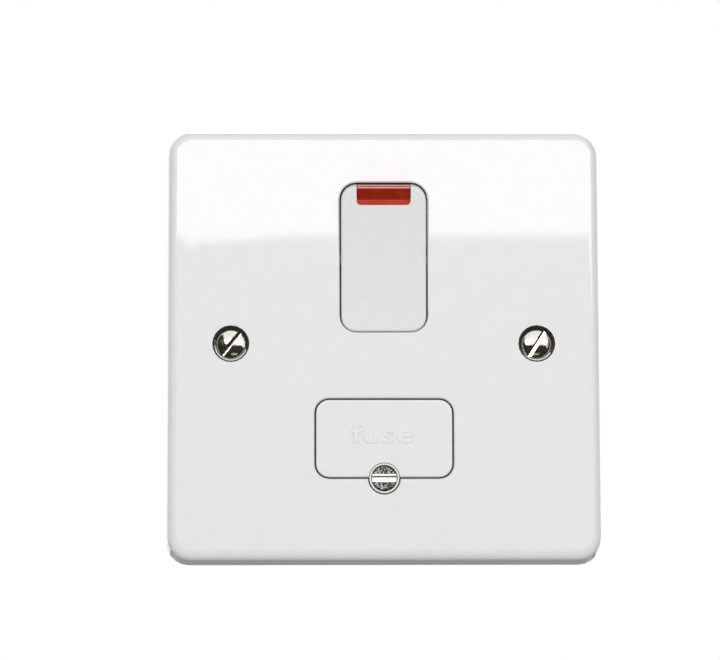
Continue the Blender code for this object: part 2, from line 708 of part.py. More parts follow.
def make_rocker():
    tube_radius = PLUNGER_RADIUS + PLUNGER_GAP + TUBE_WALL
    inside_face = -(PIVOT_DEPTH + ROCKER_PROUD) + ROCKER_WALL
    reach = OPENING_HALF_W + GUIDE_WALL - CLEAR / 2
    additions = [box((-POLE_X, POLE_X), (inside_face - BURY, 0.0), (-RIB_WALL / 2, RIB_WALL / 2))]
    bores = []
    for side in (-1, 1):
        additions.append(rod("Y", (side * POLE_X, 0, 0), tube_radius, inside_face - BURY, TUBE_REACH))
        low, high = sorted((side * (ROCKER_WIDTH / 2 - BURY), side * reach))
        additions.append(rod("X", (0, 0, 0), TRUNNION_RADIUS, low, high, 20))
        bore = PLUNGER_RADIUS + PLUNGER_GAP
        bores.append(rod("Y", (side * POLE_X, 0, 0), bore, spring_front() - CLEAR, TUBE_REACH + OVER))
    window_back = -(PIVOT_DEPTH + ROCKER_PROUD) + LENS_REACH
    shell = combined(rocker_shell(0.0, ROCKER_WALL, ROCKER_SKIRT), "UNION", additions)
    shell = combined(shell, "DIFFERENCE", bores + [lens_window(0.0, window_back)])
    rocker = place("rocker", shell, "rocker_white", (0, PIVOT_Y, ROCKER_Z), (ROCKER_TILT, 0, 0))

    flange_in = ROCKER_WALL + CLEAR
    pane = combined(
        rocker_shell(0.0, flange_in + LENS_FLANGE, ROCKER_SKIRT),
        "INTERSECT",
        [lens_window(-LENS_GAP, window_back)],
    )
    flange = combined(
        rocker_shell(flange_in, flange_in + LENS_FLANGE, ROCKER_SKIRT),
        "INTERSECT",
        [lens_window(LENS_FLANGE_REACH, window_back)],
    )
    place("neon_lens", combined(pane, "UNION", [flange]), "red_lens", parent=rocker)
    return rocker


def spring_front():
    return -(PIVOT_DEPTH + ROCKER_PROUD) + ROCKER_DISH + ROCKER_WALL + 2 * CLEAR


def make_plungers(rocker):
    shoulder = spring_front() + SPRING_LENGTH + CLEAR
    spigot = PLUNGER_RADIUS - 2 * SPRING_WIRE - CLEAR
    tip = PLUNGER_REACH
    profile = [(0, shoulder - spigot), (spigot, shoulder - spigot)]
    profile += [(spigot, shoulder), (PLUNGER_RADIUS, shoulder)]
    for step in range(5):
        angle = math.radians(90 * step / 4)
        radius = PLUNGER_RADIUS * math.cos(angle)
        profile.append((max(radius, 0) if step < 4 else 0, tip - PLUNGER_RADIUS * (1 - math.sin(angle))))
    plunger = mesh_data("plunger", turned(profile, "Y", (0, 0, 0), 12))
    plunger.materials.append(finish_material("nylon"))
    mean = PLUNGER_RADIUS - SPRING_WIRE
    steps = 8
    rise = SPRING_LENGTH - 2 * SPRING_WIRE
    coil = []
    for step in range(int(SPRING_TURNS * steps) + 1):
        angle = 2 * math.pi * step / steps
        along = spring_front() + SPRING_WIRE + rise * step / (SPRING_TURNS * steps)
        coil.append(Vector((mean * math.cos(angle), along, mean * math.sin(angle))))
    spring = mesh_data("plunger_spring", wire(coil, SPRING_WIRE, 5))
    spring.materials.append(finish_material("spring_steel"))
    for side, pole in ((-1, "live"), (1, "neutral")):
        place(f"{pole}_plunger", plunger, "nylon", (side * POLE_X, 0, 0), parent=rocker)
        place(f"{pole}_plunger_spring", spring, "spring_steel", (side * POLE_X, 0, 0), parent=rocker)


def rivet_profile(near_head, near, far, far_head):
    """A contact rivet along Y: its contact head, its shank through a strip and its closed tail."""
    return (
        (0, near - near_head),
        (RIVET_RADIUS - RIVET_EDGE, near - near_head),
        (RIVET_RADIUS, near - near_head + RIVET_EDGE),
        (RIVET_RADIUS, near),
        (RIVET_SHANK, near),
        (RIVET_SHANK, far),
        (RIVET_RADIUS - RIVET_EDGE, far),
        (RIVET_RADIUS - RIVET_EDGE, far + far_head),
        (0, far + far_head),
    )


def contact_face():
    """The rearmost reach and the height of the moving contact when the bar is at its closed end."""
    back = BAR_THICK / 2 + CLEAR + RIVET_HEAD
    y, z = turn_about_x(back, CONTACT_ARM, -BAR_TILT)
    return BAR_Y + y + RIVET_RADIUS * math.sin(math.radians(BAR_TILT)), ROCKER_Z + z


def make_contact_bars():
    hole = RIVET_SHANK + CLEAR
    outline = whole_outline(BAR_WIDTH / 2, (CONTACT_ARM + BAR_TAIL + BAR_LOWER) / 2, BAR_CORNER, 3)
    middle = (CONTACT_ARM + BAR_TAIL - BAR_LOWER) / 2
    strip = moved(prism(outline, "Y", -BAR_THICK / 2, BAR_THICK / 2), z=middle)
    notch_y = BAR_THICK / 2 - BAR_NOTCH + BAR_NOTCH_RADIUS
    cuts = [
        rod("Y", (0, 0, CONTACT_ARM), hole, -OVER, OVER, 12),
        rod("X", (0, notch_y, 0), BAR_NOTCH_RADIUS, -BAR_WIDTH, BAR_WIDTH),
    ]
    bar = mesh_data("contact_bar", combined(strip, "DIFFERENCE", cuts))
    bar.materials.append(finish_material("copper"))
    head = -(BAR_THICK / 2 + CLEAR)
    profile = [(radius, -along) for radius, along in rivet_profile(RIVET_HEAD, head, -head, RIVET_TAIL)]
    moving = mesh_data("moving_contact", turned(profile, "Y", (0, 0, CONTACT_ARM), 12))
    moving.materials.append(finish_material("silver_alloy"))
    for side, pole in ((-1, "live"), (1, "neutral")):
        at = (side * POLE_X, BAR_Y, ROCKER_Z)
        carrier = place(f"{pole}_contact_bar", bar, "copper", at, (-BAR_TILT, 0, 0))
        place(f"{pole}_moving_contact", moving, "silver_alloy", parent=carrier)


def saddle_points(end_points):
    """The links' common path: a foot, the ridge that the bar rocks on, then down to the given points."""
    rise = LINK_Y - CREST_Y - LINK_THICK / 2 + SADDLE_ROUND * math.sqrt(0.5) / 2
    top = ROCKER_Z + rise
    saddle = [(LINK_Y, top + SADDLE_FOOT), (LINK_Y, top)]
    saddle += [(LINK_Y - rise, ROCKER_Z), (LINK_Y, ROCKER_Z - rise)]
    return saddle + end_points


def strip_box(x, depth, z):
    return box(x, (depth - LINK_THICK / 2, depth + LINK_THICK / 2), z)


def clip_body(side, stem_back):
    """A fuse clip: two sprung arms round the cap, open to the front, on a stem that runs back."""
    front = FUSE_Y - CLIP_REACH
    points = [(front, -CLIP_MIDDLE - CLIP_FLARE), (front + CLIP_LEAD, -CLIP_MIDDLE)]
    for step in range(9):
        angle = math.radians(-90 + 180 * step / 8)
        points.append((FUSE_Y + CLIP_MIDDLE * math.cos(angle), CLIP_MIDDLE * math.sin(angle)))
    points += [(front + CLIP_LEAD, CLIP_MIDDLE), (front, CLIP_MIDDLE + CLIP_FLARE)]
    low = side * CLIP_X - CLIP_WIDTH / 2
    high = side * CLIP_X + CLIP_WIDTH / 2
    jaws = moved(prism(ribbon(points, CLIP_THICK), "X", low, high), z=CARRIER_Z)
    half = LINK_THICK / 2
    stem = box((low, high), (FUSE_Y + CLIP_MIDDLE, stem_back), (CARRIER_Z - half, CARRIER_Z + half))
    return combined(jaws, "UNION", [stem])


def leg_bottom():
    return -(TERMINAL_TOP - TERMINAL_HEIGHT) - LEG_OVERLAP


def make_links():
    low = POLE_X - LINK_WIDTH / 2
    high = POLE_X + LINK_WIDTH / 2
    run = CARRIER_Z - LINK_WIDTH / 2
    clip_low = CLIP_X - CLIP_WIDTH / 2
    clip_high = CLIP_X + CLIP_WIDTH / 2
    leg_in = LEG_X - LINK_WIDTH / 2
    leg_out = LEG_X + LINK_WIDTH / 2

    path = ribbon(saddle_points([(LINK_Y, run)]), LINK_THICK, SADDLE_ROUND)
    live = combined(
        prism(path, "X", -high, -low),
        "UNION",
        [
            strip_box((-clip_high, -low - BURY), LINK_Y, (run, run + LINK_WIDTH)),
            clip_body(-1, LINK_Y),
        ],
    )
    place("live_link", live, "brass")

    load = combined(
        clip_body(1, NEUTRAL_Y),
        "UNION",
        [
            strip_box((clip_low, leg_out), NEUTRAL_Y, (run, run + LINK_WIDTH)),
            strip_box((leg_in, leg_out), NEUTRAL_Y, (leg_bottom(), run + BURY)),
        ],
    )
    place("load_fuse_clip", load, "brass")

    crossing = run - CLEAR - LINK_WIDTH
    knee = LINK_STEP - HOUSING_SCREW_DOWN
    step = [(LINK_Y, knee + NEUTRAL_Y - LINK_Y), (NEUTRAL_Y, knee), (NEUTRAL_Y, crossing)]
    path = ribbon(saddle_points(step), LINK_THICK, SADDLE_ROUND)
    neutral = combined(
        prism(path, "X", low, high),
        "UNION",
        [
            strip_box((-leg_out, high - BURY), NEUTRAL_Y, (crossing, crossing + LINK_WIDTH)),
            strip_box((-leg_out, -leg_in), NEUTRAL_Y, (leg_bottom(), crossing + BURY)),
        ],
    )
    place("neutral_link", neutral, "brass")


def slot_cut(width, depth, length, face, angle):
    """A driver's slot across a head whose face is at the given Y, cut towards +Y."""
    tool = box((-length, length), (face - OVER, face + depth), (-width / 2, width / 2))
    bmesh.ops.rotate(tool, verts=tool.verts, matrix=Matrix.Rotation(math.radians(-angle), 3, "Y"))
    return tool


def screw_mesh(name, profile, slot, slot_width, slot_depth, face, angle=0.0, steps=24):
    """A turned screw along +Y from its head, with one slot, and its material."""
    body = turned(profile, "Y", (0, 0, 0), steps)
    length = max(radius for radius, along in profile) + OVER
    cut = slot_cut(slot_width, slot_depth, length, face, angle)
    data = mesh_data(name, combined(body, "DIFFERENCE", [cut]))
    data.materials.append(finish_material(slot))
    return data


def shank(radius, start, end, tip=0.5):
    return [(radius, start), (radius, end - tip), (radius - tip, end), (0, end)]


def make_plate_screws():
    rim = FACE_Y + PLATE_HEAD_DOME
    profile = [(0, rim - PLATE_HEAD_DOME)]
    for step in range(1, 4):
        t = step / 3
        profile.append((PLATE_HEAD_RADIUS * t, rim - PLATE_HEAD_DOME * (1 - t ** 2)))
    profile.append((PLATE_HEAD_RADIUS, rim + SCREW_EDGE))
    cone_end = rim + SCREW_EDGE + PLATE_HEAD_RADIUS - PLATE_SCREW_RADIUS
    profile += shank(PLATE_SCREW_RADIUS, cone_end, FACE_Y + PLATE_SCREW_LENGTH)
    for side, hand, angle in ((-1, "left", LEFT_SLOT_ANGLE), (1, "right", RIGHT_SLOT_ANGLE)):
        name = f"plate_screw_{hand}"
        data = screw_mesh(name, profile, "nickel", PLATE_SLOT, PLATE_SLOT_DEPTH, FACE_Y, angle, 20)
        place(name, data, "nickel", (side * BOX_PITCH / 2, 0, 0))


def cheese_head(radius, face, back):
    """The profile of a flat head from the middle of its face to its underside."""
    return [(0, face), (radius - SCREW_EDGE, face), (radius, face + SCREW_EDGE), (radius, back)]


def make_housing_screws():
    face = HOUSING_DEPTH - CLEAR
    under = face - HOUSING_SCREW_HEAD_DEPTH
    profile = cheese_head(HOUSING_SCREW_HEAD, -face, -under)
    profile += shank(HOUSING_SCREW_RADIUS, -under, HOUSING_SCREW_BITE - COLLAR_BACK)
    data = screw_mesh("housing_screw", profile, "zinc_steel", SMALL_SLOT, SMALL_SLOT, -face, 0.0, 12)
    for number, (x, z) in enumerate(housing_screw_places(), 1):
        place(f"housing_screw_{number}", data, "zinc_steel", (x, 0, z), (180, 0, 0))


def terminal_screw_data():
    """A terminal screw with its head in the housing's rear wall and its tip over the wire tunnel."""
    face = HOUSING_DEPTH - CLEAR / 2
    seat = TERMINAL_BACK + CLEAR
    profile = cheese_head(TERMINAL_SCREW_HEAD, -face, -seat)
    profile += shank(TERMINAL_SCREW_RADIUS, -seat, -(TUNNEL_Y + TUNNEL_RADIUS + CLEAR))
    return screw_mesh("terminal_screw", profile, "zinc_steel", SMALL_SLOT, SMALL_SLOT, -face, 0.0, 12)


def terminal_block(side, rise, extras, slots):
    """A pillar terminal: a brass block with a wire tunnel along Z and a screw hole from the rear."""
    x = sorted((side * TERMINAL_INNER, side * TERMINAL_OUTER))
    z = sorted((rise * TERMINAL_TOP, rise * (TERMINAL_TOP - TERMINAL_HEIGHT)))
    block = chamfered(box(x, (TERMINAL_FRONT, TERMINAL_BACK), z), TERMINAL_EDGE)
    if extras:
        block = combined(block, "UNION", extras)
    middle = side * TERMINAL_X
    hole = TERMINAL_SCREW_RADIUS + CLEAR
    cuts = [
        rod("Z", (middle, TUNNEL_Y, 0), TUNNEL_RADIUS, z[0] - OVER, z[1] + OVER),
        rod("Y", (middle, 0, rise * TERMINAL_Z), hole, TUNNEL_Y, TERMINAL_BACK + OVER),
    ]
    return combined(block, "DIFFERENCE", cuts + slots)


def make_terminals():
    screw = terminal_screw_data()
    reach, contact_z = contact_face()
    front = reach + CLEAR
    tongue_front = front + RIVET_HEAD + CLEAR
    tongue_back = tongue_front + LINK_THICK
    profile = rivet_profile(RIVET_HEAD, front + RIVET_HEAD, tongue_back + CLEAR, RIVET_TAIL)
    fixed = mesh_data("fixed_contact", turned(profile, "Y", (0, 0, 0), 12))
    fixed.materials.append(finish_material("silver_alloy"))
    for side, pole in ((-1, "live"), (1, "neutral")):
        ends = sorted((side * (POLE_X - BAR_WIDTH / 2), side * (TERMINAL_INNER + BURY)))
        half = TONGUE_WIDTH / 2
        tongue = box(ends, (tongue_front, tongue_back), (contact_z - half, contact_z + half))
        at = (side * POLE_X, 0, contact_z)
        hole = rod("Y", at, RIVET_SHANK + CLEAR, tongue_front - OVER, tongue_back + OVER, 12)
        place(f"supply_{pole}_terminal", terminal_block(side, 1, [tongue], [hole]), "brass")
        place(f"{pole}_fixed_contact", fixed, "silver_alloy", at)
        place(f"supply_{pole}_screw", screw, "zinc_steel", (side * TERMINAL_X, 0, TERMINAL_Z), (180, 0, 0))
    for side, pole in ((1, "live"), (-1, "neutral")):
        half = LINK_WIDTH / 2 + CLEAR
        depth = LINK_THICK / 2 + CLEAR
        groove = box(
            (side * LEG_X - half, side * LEG_X + half),
            (NEUTRAL_Y - depth, NEUTRAL_Y + depth),
            (leg_bottom() - CLEAR, leg_bottom() + TERMINAL_HEIGHT),
        )
        place(f"load_{pole}_terminal", terminal_block(side, -1, [], [groove]), "brass")
        place(f"load_{pole}_screw", screw, "zinc_steel", (side * TERMINAL_X, 0, -TERMINAL_Z), (180, 0, 0))

    half = EARTH_WIDTH / 2
    z = (-TERMINAL_TOP, -TERMINAL_TOP + EARTH_HEIGHT)
    block = chamfered(box((-half, half), (EARTH_FRONT, TERMINAL_BACK), z), TERMINAL_EDGE)
    cuts = []
    for side in (-1, 1):
        x = side * EARTH_PITCH / 2
        cuts.append(rod("Z", (x, TUNNEL_Y, 0), EARTH_TUNNEL_RADIUS, z[0] - OVER, z[1] + OVER))
        hole = TERMINAL_SCREW_RADIUS + CLEAR
        cuts.append(rod("Y", (x, 0, -EARTH_Z), hole, TUNNEL_Y, TERMINAL_BACK + OVER))
    place("earth_terminal", combined(block, "DIFFERENCE", cuts), "brass")
    for side, hand in ((-1, "left"), (1, "right")):
        place(f"earth_screw_{hand}", screw, "zinc_steel", (side * EARTH_PITCH / 2, 0, -EARTH_Z), (180, 0, 0))


def make_fuse_carrier():
    half_w = CARRIER_WIDTH / 2
    half_h = CARRIER_HEIGHT / 2
    skirt_back = FACE_Y + CARRIER_SKIRT
    size = (half_w, half_h, CARRIER_CORNER)
    shell = pan(*size, FACE_Y, skirt_back, CARRIER_SLAB, CARRIER_WALL, CARRIER_EDGE, 0.0)
    jaw = FUSE_BODY_RADIUS + CLEAR + JAW_WALL
    lug_radius = CUP_RADIUS - CUP_SEAT
    bury = FACE_Y + CARRIER_SLAB - BURY
    web_top = CARRIER_Z - half_h + 2 * CARRIER_WALL
    additions = [
        box((-JAW_HALF, JAW_HALF), (bury, FACE_Y + JAW_DEPTH), (CARRIER_Z - jaw, CARRIER_Z + jaw)),
        box((-lug_radius, lug_radius), (bury, LUG_BACK), (CUP_Z, web_top)),
        rod("Y", (0, 0, CUP_Z), lug_radius, LUG_FRONT, LUG_BACK),
    ]
    shell = combined(moved(shell, z=CARRIER_Z), "UNION", additions)
    bed = FUSE_BODY_RADIUS + CLEAR
    mouth = FUSE_BODY_RADIUS - JAW_LIP
    cuts = [
        rod("X", (0, FUSE_Y, CARRIER_Z), bed, -JAW_HALF - OVER, JAW_HALF + OVER),
        box(
            (-JAW_HALF - OVER, JAW_HALF + OVER),
            (FUSE_Y, FUSE_Y + 2 * bed),
            (CARRIER_Z - mouth, CARRIER_Z + mouth),
        ),
        rod("Y", (0, 0, CUP_Z), CUP_RADIUS + CUP_SEAT, FACE_Y - OVER, LUG_FRONT, 24),
        rod("Y", (0, 0, CUP_Z), CARRIER_SCREW_RADIUS + CLEAR, FACE_Y - OVER, LUG_BACK + OVER),
    ]
    for side in (-1, 1):
        ends = sorted((side * (JAW_HALF + CLEAR), side * (half_w + OVER)))
        height = (CARRIER_Z - FUSE_BED, CARRIER_Z + FUSE_BED)
        cuts.append(box(ends, (FUSE_Y - FUSE_BED, skirt_back + OVER), height))
    place("fuse_carrier", combined(shell, "DIFFERENCE", cuts), "white_urea")


def make_carrier_screw():
    """The screw that holds the carrier, with the cup round its head, its ring and its insert."""
    cup_back = CUP_FRONT + CUP_DEPTH
    cup_inner = CUP_RADIUS - CUP_WALL
    bore = CARRIER_SCREW_RADIUS + CLEAR
    cup = (
        (bore, cup_back),
        (CUP_RADIUS, cup_back),
        (CUP_RADIUS, CUP_FRONT),
        (cup_inner, CUP_FRONT),
        (cup_inner, cup_back - CUP_FLOOR),
        (bore, cup_back - CUP_FLOOR),
    )
    place("carrier_screw_cup", turned(cup, "Y", (0, 0, CUP_Z), 24), "white_urea")
    pieces = (
        ("carrier_screw_retainer", "spring_steel", RETAINER_WALL, LUG_BACK + CLEAR, RETAINER_THICK),
        ("carrier_screw_insert", "brass", INSERT_WALL, INSERT_FRONT, INSERT_LENGTH),
    )
    for name, slot, wall, front, length in pieces:
        back = front + length
        ring = ((bore, front), (bore + wall, front), (bore + wall, back), (bore, back))
        place(name, turned(ring, "Y", (0, 0, CUP_Z), 14), slot)

    under = cup_back - CUP_FLOOR - CLEAR
    face = under - CARRIER_SCREW_HEAD_DEPTH
    profile = cheese_head(CARRIER_SCREW_HEAD, face, under)
    profile += shank(CARRIER_SCREW_RADIUS, under, face + CARRIER_SCREW_LENGTH)
    data = screw_mesh("carrier_screw", profile, "zinc_steel", CARRIER_SLOT, CARRIER_SLOT_DEPTH, face)
    place("carrier_screw", data, "zinc_steel", (0, 0, CUP_Z))


def make_fuse_link():
    end = FUSE_LENGTH / 2
    neck = end - FUSE_CAP_WALL - CLEAR
    body_inner = FUSE_RADIUS - FUSE_CAP_WALL - CLEAR
    step = end - FUSE_CAP - CLEAR
    at = (0, FUSE_Y, CARRIER_Z)
    profile = (
        (0, -neck),
        (body_inner, -neck),
        (body_inner, -step),
        (FUSE_BODY_RADIUS, -step),
        (FUSE_BODY_RADIUS, step),
        (body_inner, step),
        (body_inner, neck),
        (0, neck),
    )
    place("fuse_body", turned(profile, "X", at), "ceramic")
    for side, hand in ((-1, "left"), (1, "right")):
        edge = side * (end - FUSE_CAP)
        inner = FUSE_RADIUS - FUSE_CAP_WALL
        cap = (
            (0, side * (end - FUSE_CAP_WALL)),
            (inner, side * (end - FUSE_CAP_WALL)),
            (inner, edge),
            (FUSE_RADIUS, edge),
            (FUSE_RADIUS, side * (end - FUSE_CAP_WALL)),
            (FUSE_RADIUS - FUSE_CAP_WALL, side * end),
            (0, side * end),
        )
        place(f"fuse_cap_{hand}", turned(cap, "X", at), "nickel")


def make_lamp():
    half = LAMP_LENGTH / 2
    profile = [(0, -half)]
    for step in range(1, 5):
        angle = math.radians(90 * step / 4)
        profile.append((LAMP_RADIUS * math.sin(angle), LAMP_TIP * (1 - math.cos(angle)) - half))
    profile += [
        (LAMP_RADIUS, half - LAMP_TIP),
        (LAMP_RADIUS * 0.8, half - LAMP_TIP / 2),
        (LAMP_RADIUS * 0.6, half),
        (0, half),
    ]
    place("neon_lamp", turned(profile, "X", (0, LAMP_Y, LAMP_Z), 14), "lamp_glass")


def make_resistor(x, y, z):
    half = RESISTOR_LENGTH / 2
    waist = RESISTOR_RADIUS * 0.85
    cap = RESISTOR_RADIUS * 0.8
    bottom = [
        (0, -half),
        (cap, -half),
        (RESISTOR_RADIUS, RESISTOR_END - half),
        (RESISTOR_RADIUS, RESISTOR_BULB - half),
        (waist, RESISTOR_BULB + RESISTOR_END - half),
    ]
    profile = bottom + [(radius, -along) for radius, along in reversed(bottom)]
    place("neon_resistor", turned(profile, "Z", (x, y, z), 10), "resistor_lacquer")


def make_neon():
    """The indicator: its lamp behind the window, its resistor, and leads to both links."""
    make_lamp()
    resistor_x = TERMINAL_INNER - INNER_WALL - 2 * CLEAR - RESISTOR_RADIUS - RESISTOR_ASIDE
    resistor_y = LAMP_Y + RESISTOR_BACK
    resistor_z = ROCKER_Z + RESISTOR_UP
    top = resistor_z + RESISTOR_LENGTH / 2
    bottom = resistor_z - RESISTOR_LENGTH / 2
    make_resistor(resistor_x, resistor_y, resistor_z)

    tip = LAMP_LENGTH / 2 + CLEAR + LEAD_RADIUS
    clear_x = POLE_X + BAR_WIDTH / 2 + 2 * CLEAR + LEAD_RADIUS
    link_front = LINK_Y - LINK_THICK / 2 - CLEAR - LEAD_RADIUS
    foot_z = ROCKER_Z - BAR_LOWER - LEAD_FOOT

    def down_to_link(side):
        """The lower end that both leads share: past the edge of the bar and onto the link."""
        return [
            (side * clear_x, link_front - LEAD_BEND, ROCKER_Z - LEAD_BEND),
            (side * (POLE_X + LEAD_BEND), link_front, foot_z + LEAD_BEND),
            (side * POLE_X, link_front, foot_z),
        ]

    paths = {
        "live": [
            (-tip, LAMP_Y, LAMP_Z),
            (-tip - LEAD_BEND, LAMP_Y + LEAD_BEND, LAMP_Z),
            (-tip - LEAD_BEND, LAMP_Y + 4 * LEAD_BEND, LAMP_Z),
            (-clear_x, resistor_y, LAMP_Z - LEAD_BEND),
            *down_to_link(-1),
        ],
        "middle": [
            (tip, LAMP_Y, LAMP_Z),
            (tip + LEAD_BEND, LAMP_Y + LEAD_BEND, LAMP_Z),
            (tip + LEAD_BEND, LAMP_Y + 4 * LEAD_BEND, LAMP_Z),
            (resistor_x, resistor_y, top + 2 * LEAD_BEND),
            (resistor_x, resistor_y, top + CLEAR),
        ],
        "neutral": [
            (resistor_x, resistor_y, bottom - CLEAR),
            (resistor_x, resistor_y, bottom - LEAD_BEND),
            (clear_x, resistor_y + LEAD_BEND, bottom - 2 * LEAD_BEND),
            *down_to_link(1),
        ],
    }
    for name, path in paths.items():
        place(f"neon_lead_{name}", wire(rounded_path(path, LEAD_BEND), LEAD_RADIUS), "lead_wire")


def inner_walls(floor):
    """The walls, columns and shelves that stand in the housing."""
    chamber = whole_outline(CHAMBER_HALF_W + INNER_WALL, CHAMBER_HALF_H + INNER_WALL, CHAMBER_CORNER, 3)
    ridge = BAR_Y - RIDGE_TOP
    cradle = LAMP_RADIUS + 2 * CLEAR
    insert_boss = CARRIER_SCREW_RADIUS + 2 * CLEAR + INSERT_WALL + INSERT_BOSS_WALL
    above_chamber = CARRIER_Z + CHAMBER_HALF_H + INNER_WALL + RIDGE_CLEAR
    walls = [
        moved(prism(chamber, "Y", CHAMBER_FRONT, CHAMBER_BACK), z=CARRIER_Z),
        box((-INNER_WALL / 2, INNER_WALL / 2), (ridge, floor), (above_chamber, INSIDE_H + BURY)),
        box(
            (-CRADLE_HALF, CRADLE_HALF),
            (LAMP_Y + 2 * CLEAR, ridge + BURY),
            (LAMP_Z - cradle, LAMP_Z + cradle),
        ),
        rod("Y", (0, 0, CUP_Z), insert_boss, INSERT_FRONT, CHAMBER_BACK),
    ]
    for x, z in housing_screw_places():
        walls.append(rod("Y", (x, 0, z), COLUMN_RADIUS, COLLAR_BACK + CLEAR, floor, 12))
    shelf_out = SHELF_Z - INNER_WALL
    for side in (-1, 1):
        post = sorted((side * (OPENING_HALF_W + CLEAR), side * (OPENING_HALF_W + GUIDE_WALL + POST_REACH)))
        post_front = PIVOT_Y + TRUNNION_RADIUS + CLEAR
        height = (ROCKER_Z - TRUNNION_RADIUS, ROCKER_Z + TRUNNION_RADIUS)
        walls.append(box(post, (post_front, floor), height))
        pocket = sorted((side * CHAMBER_HALF_W, side * (CHAMBER_HALF_W + INNER_WALL)))
        walls.append(box(pocket, (BAR_Y - OVER, floor), (shelf_out, INSIDE_H + BURY)))
        walls.append(box(pocket, (CHAMBER_BACK - BURY, floor), (-INSIDE_H - BURY, -shelf_out)))
        shelf = sorted((side * CHAMBER_HALF_W, side * (INSIDE_W + BURY)))
        for rise in (-1, 1):
            height = sorted((rise * shelf_out, rise * SHELF_Z))
            walls.append(box(shelf, (TERMINAL_FRONT + TERMINAL_EDGE, floor), height))
        earth_in = EARTH_WIDTH / 2 + CLEAR
        earth_wall = sorted((side * earth_in, side * (earth_in + INNER_WALL)))
        height = (-INSIDE_H - BURY, -EARTH_Z + EARTH_HEIGHT / 2)
        walls.append(box(earth_wall, (CHAMBER_BACK - BURY, floor), height))
    return walls


def link_seats(floor):
    """The ribs on the housing's floor that carry the links."""
    run = CARRIER_Z - LINK_WIDTH / 2
    crossing = run - CLEAR
    low = POLE_X - LINK_WIDTH / 2 - CLEAR
    high = POLE_X + LINK_WIDTH / 2 + CLEAR
    near = (LINK_Y + LINK_THICK / 2 + CLEAR, floor)
    far = (NEUTRAL_Y + LINK_THICK / 2 + CLEAR, floor)
    saddle = (ROCKER_Z - SEAT_HALF, ROCKER_Z + SEAT_HALF)
    clip_seat = LINK_WIDTH / 2
    return [
        box((-high, -low), near, saddle),
        box((low, high), near, saddle),
        box((-high, -low), near, STEP_SEAT),
        box((low, high), far, STEP_SEAT),
        box(CROSSING_SEAT, far, (crossing - LINK_WIDTH, crossing)),
        box((CLIP_X - clip_seat, CLIP_X + clip_seat), far, (run, run + LINK_WIDTH)),
        box((-CLIP_X - clip_seat, -CLIP_X + clip_seat), near, (run + 2 * CLEAR, run + LINK_WIDTH)),
    ]


def housing_holes():
    """Tools for the fuse chamber, the ways through its walls and every hole for a wire or a screw."""
    reach, contact_z = contact_face()
    tongue_back = reach + 3 * CLEAR + RIVET_HEAD + LINK_THICK
    tongue_half = TONGUE_WIDTH / 2 + CLEAR
    cavity = whole_outline(CHAMBER_HALF_W, CHAMBER_HALF_H, CHAMBER_CORNER - CLEAR, 3)
    chamber_start = CHAMBER_FRONT - OVER
    insert = CARRIER_SCREW_RADIUS + 2 * CLEAR + INSERT_WALL
    insert_end = INSERT_FRONT + INSERT_LENGTH + CLEAR
    stem = LINK_THICK / 2 + CLEAR
    run = CARRIER_Z - LINK_WIDTH / 2
    link_depth = (NEUTRAL_Y - stem, NEUTRAL_Y + stem)
    tools = [
        moved(prism(cavity, "Y", chamber_start, CHAMBER_FLOOR), z=CARRIER_Z),
        rod("Y", (0, 0, CUP_Z), CUP_RADIUS + 2 * CUP_GAP, chamber_start, INSERT_FRONT),
        rod("Y", (0, 0, CUP_Z), insert, INSERT_FRONT - OVER, insert_end),
        rod("X", (0, LAMP_Y, LAMP_Z), LAMP_RADIUS + CLEAR, -CRADLE_HALF - OVER, CRADLE_HALF + OVER),
        box((-LEG_X, -CHAMBER_HALF_W + OVER), link_depth, (run - 2 * CLEAR - LINK_WIDTH, run)),
    ]
    head = TERMINAL_SCREW_HEAD + CLEAR
    into = CLEAR  # a hole's tool starts this far inside the wall that it opens
    for side in (-1, 1):
        clip = CLIP_WIDTH / 2 + CLEAR
        ends = (side * CLIP_X - clip, side * CLIP_X + clip)
        depth = (CHAMBER_FLOOR - OVER, CHAMBER_BACK + OVER)
        tools.append(box(ends, depth, (CARRIER_Z - stem, CARRIER_Z + stem)))
        ends = sorted((side * (CHAMBER_HALF_W - OVER), side * (TERMINAL_INNER - CLEAR / 2)))
        height = (contact_z - tongue_half, contact_z + tongue_half)
        tools.append(box(ends, (BAR_Y - 2 * OVER, tongue_back), height))
        leg = LINK_WIDTH / 2 + CLEAR
        ends = (side * LEG_X - leg, side * LEG_X + leg)
        tools.append(box(ends, link_depth, (-SHELF_Z - OVER, -SHELF_Z + INNER_WALL + OVER)))
        for rise in (-1, 1):
            ends = sorted((rise * (INSIDE_H - into), rise * (HOUSING_HALF_H + OVER)))
            tools.append(rod("Z", (side * TERMINAL_X, TUNNEL_Y, 0), TUNNEL_RADIUS + CLEAR, *ends))
            at = (side * TERMINAL_X, 0, rise * TERMINAL_Z)
            tools.append(rod("Y", at, head, INSIDE_Y - into, HOUSING_DEPTH + OVER))
        x = side * EARTH_PITCH / 2
        hole = EARTH_TUNNEL_RADIUS + CLEAR
        tools.append(rod("Z", (x, TUNNEL_Y, 0), hole, -HOUSING_HALF_H - OVER, into - INSIDE_H))
        tools.append(rod("Y", (x, 0, -EARTH_Z), head, INSIDE_Y - into, HOUSING_DEPTH + OVER))
    sink = HOUSING_DEPTH - HOUSING_SCREW_HEAD_DEPTH - 2 * CLEAR
    for x, z in housing_screw_places():
        at = (x, 0, z)
        shank = HOUSING_SCREW_RADIUS + CLEAR
        tools.append(rod("Y", at, shank, COLLAR_BACK - OVER, HOUSING_DEPTH + OVER, 10))
        tools.append(rod("Y", at, HOUSING_SCREW_HEAD + CLEAR, sink, HOUSING_DEPTH + OVER, 14))
    return tools


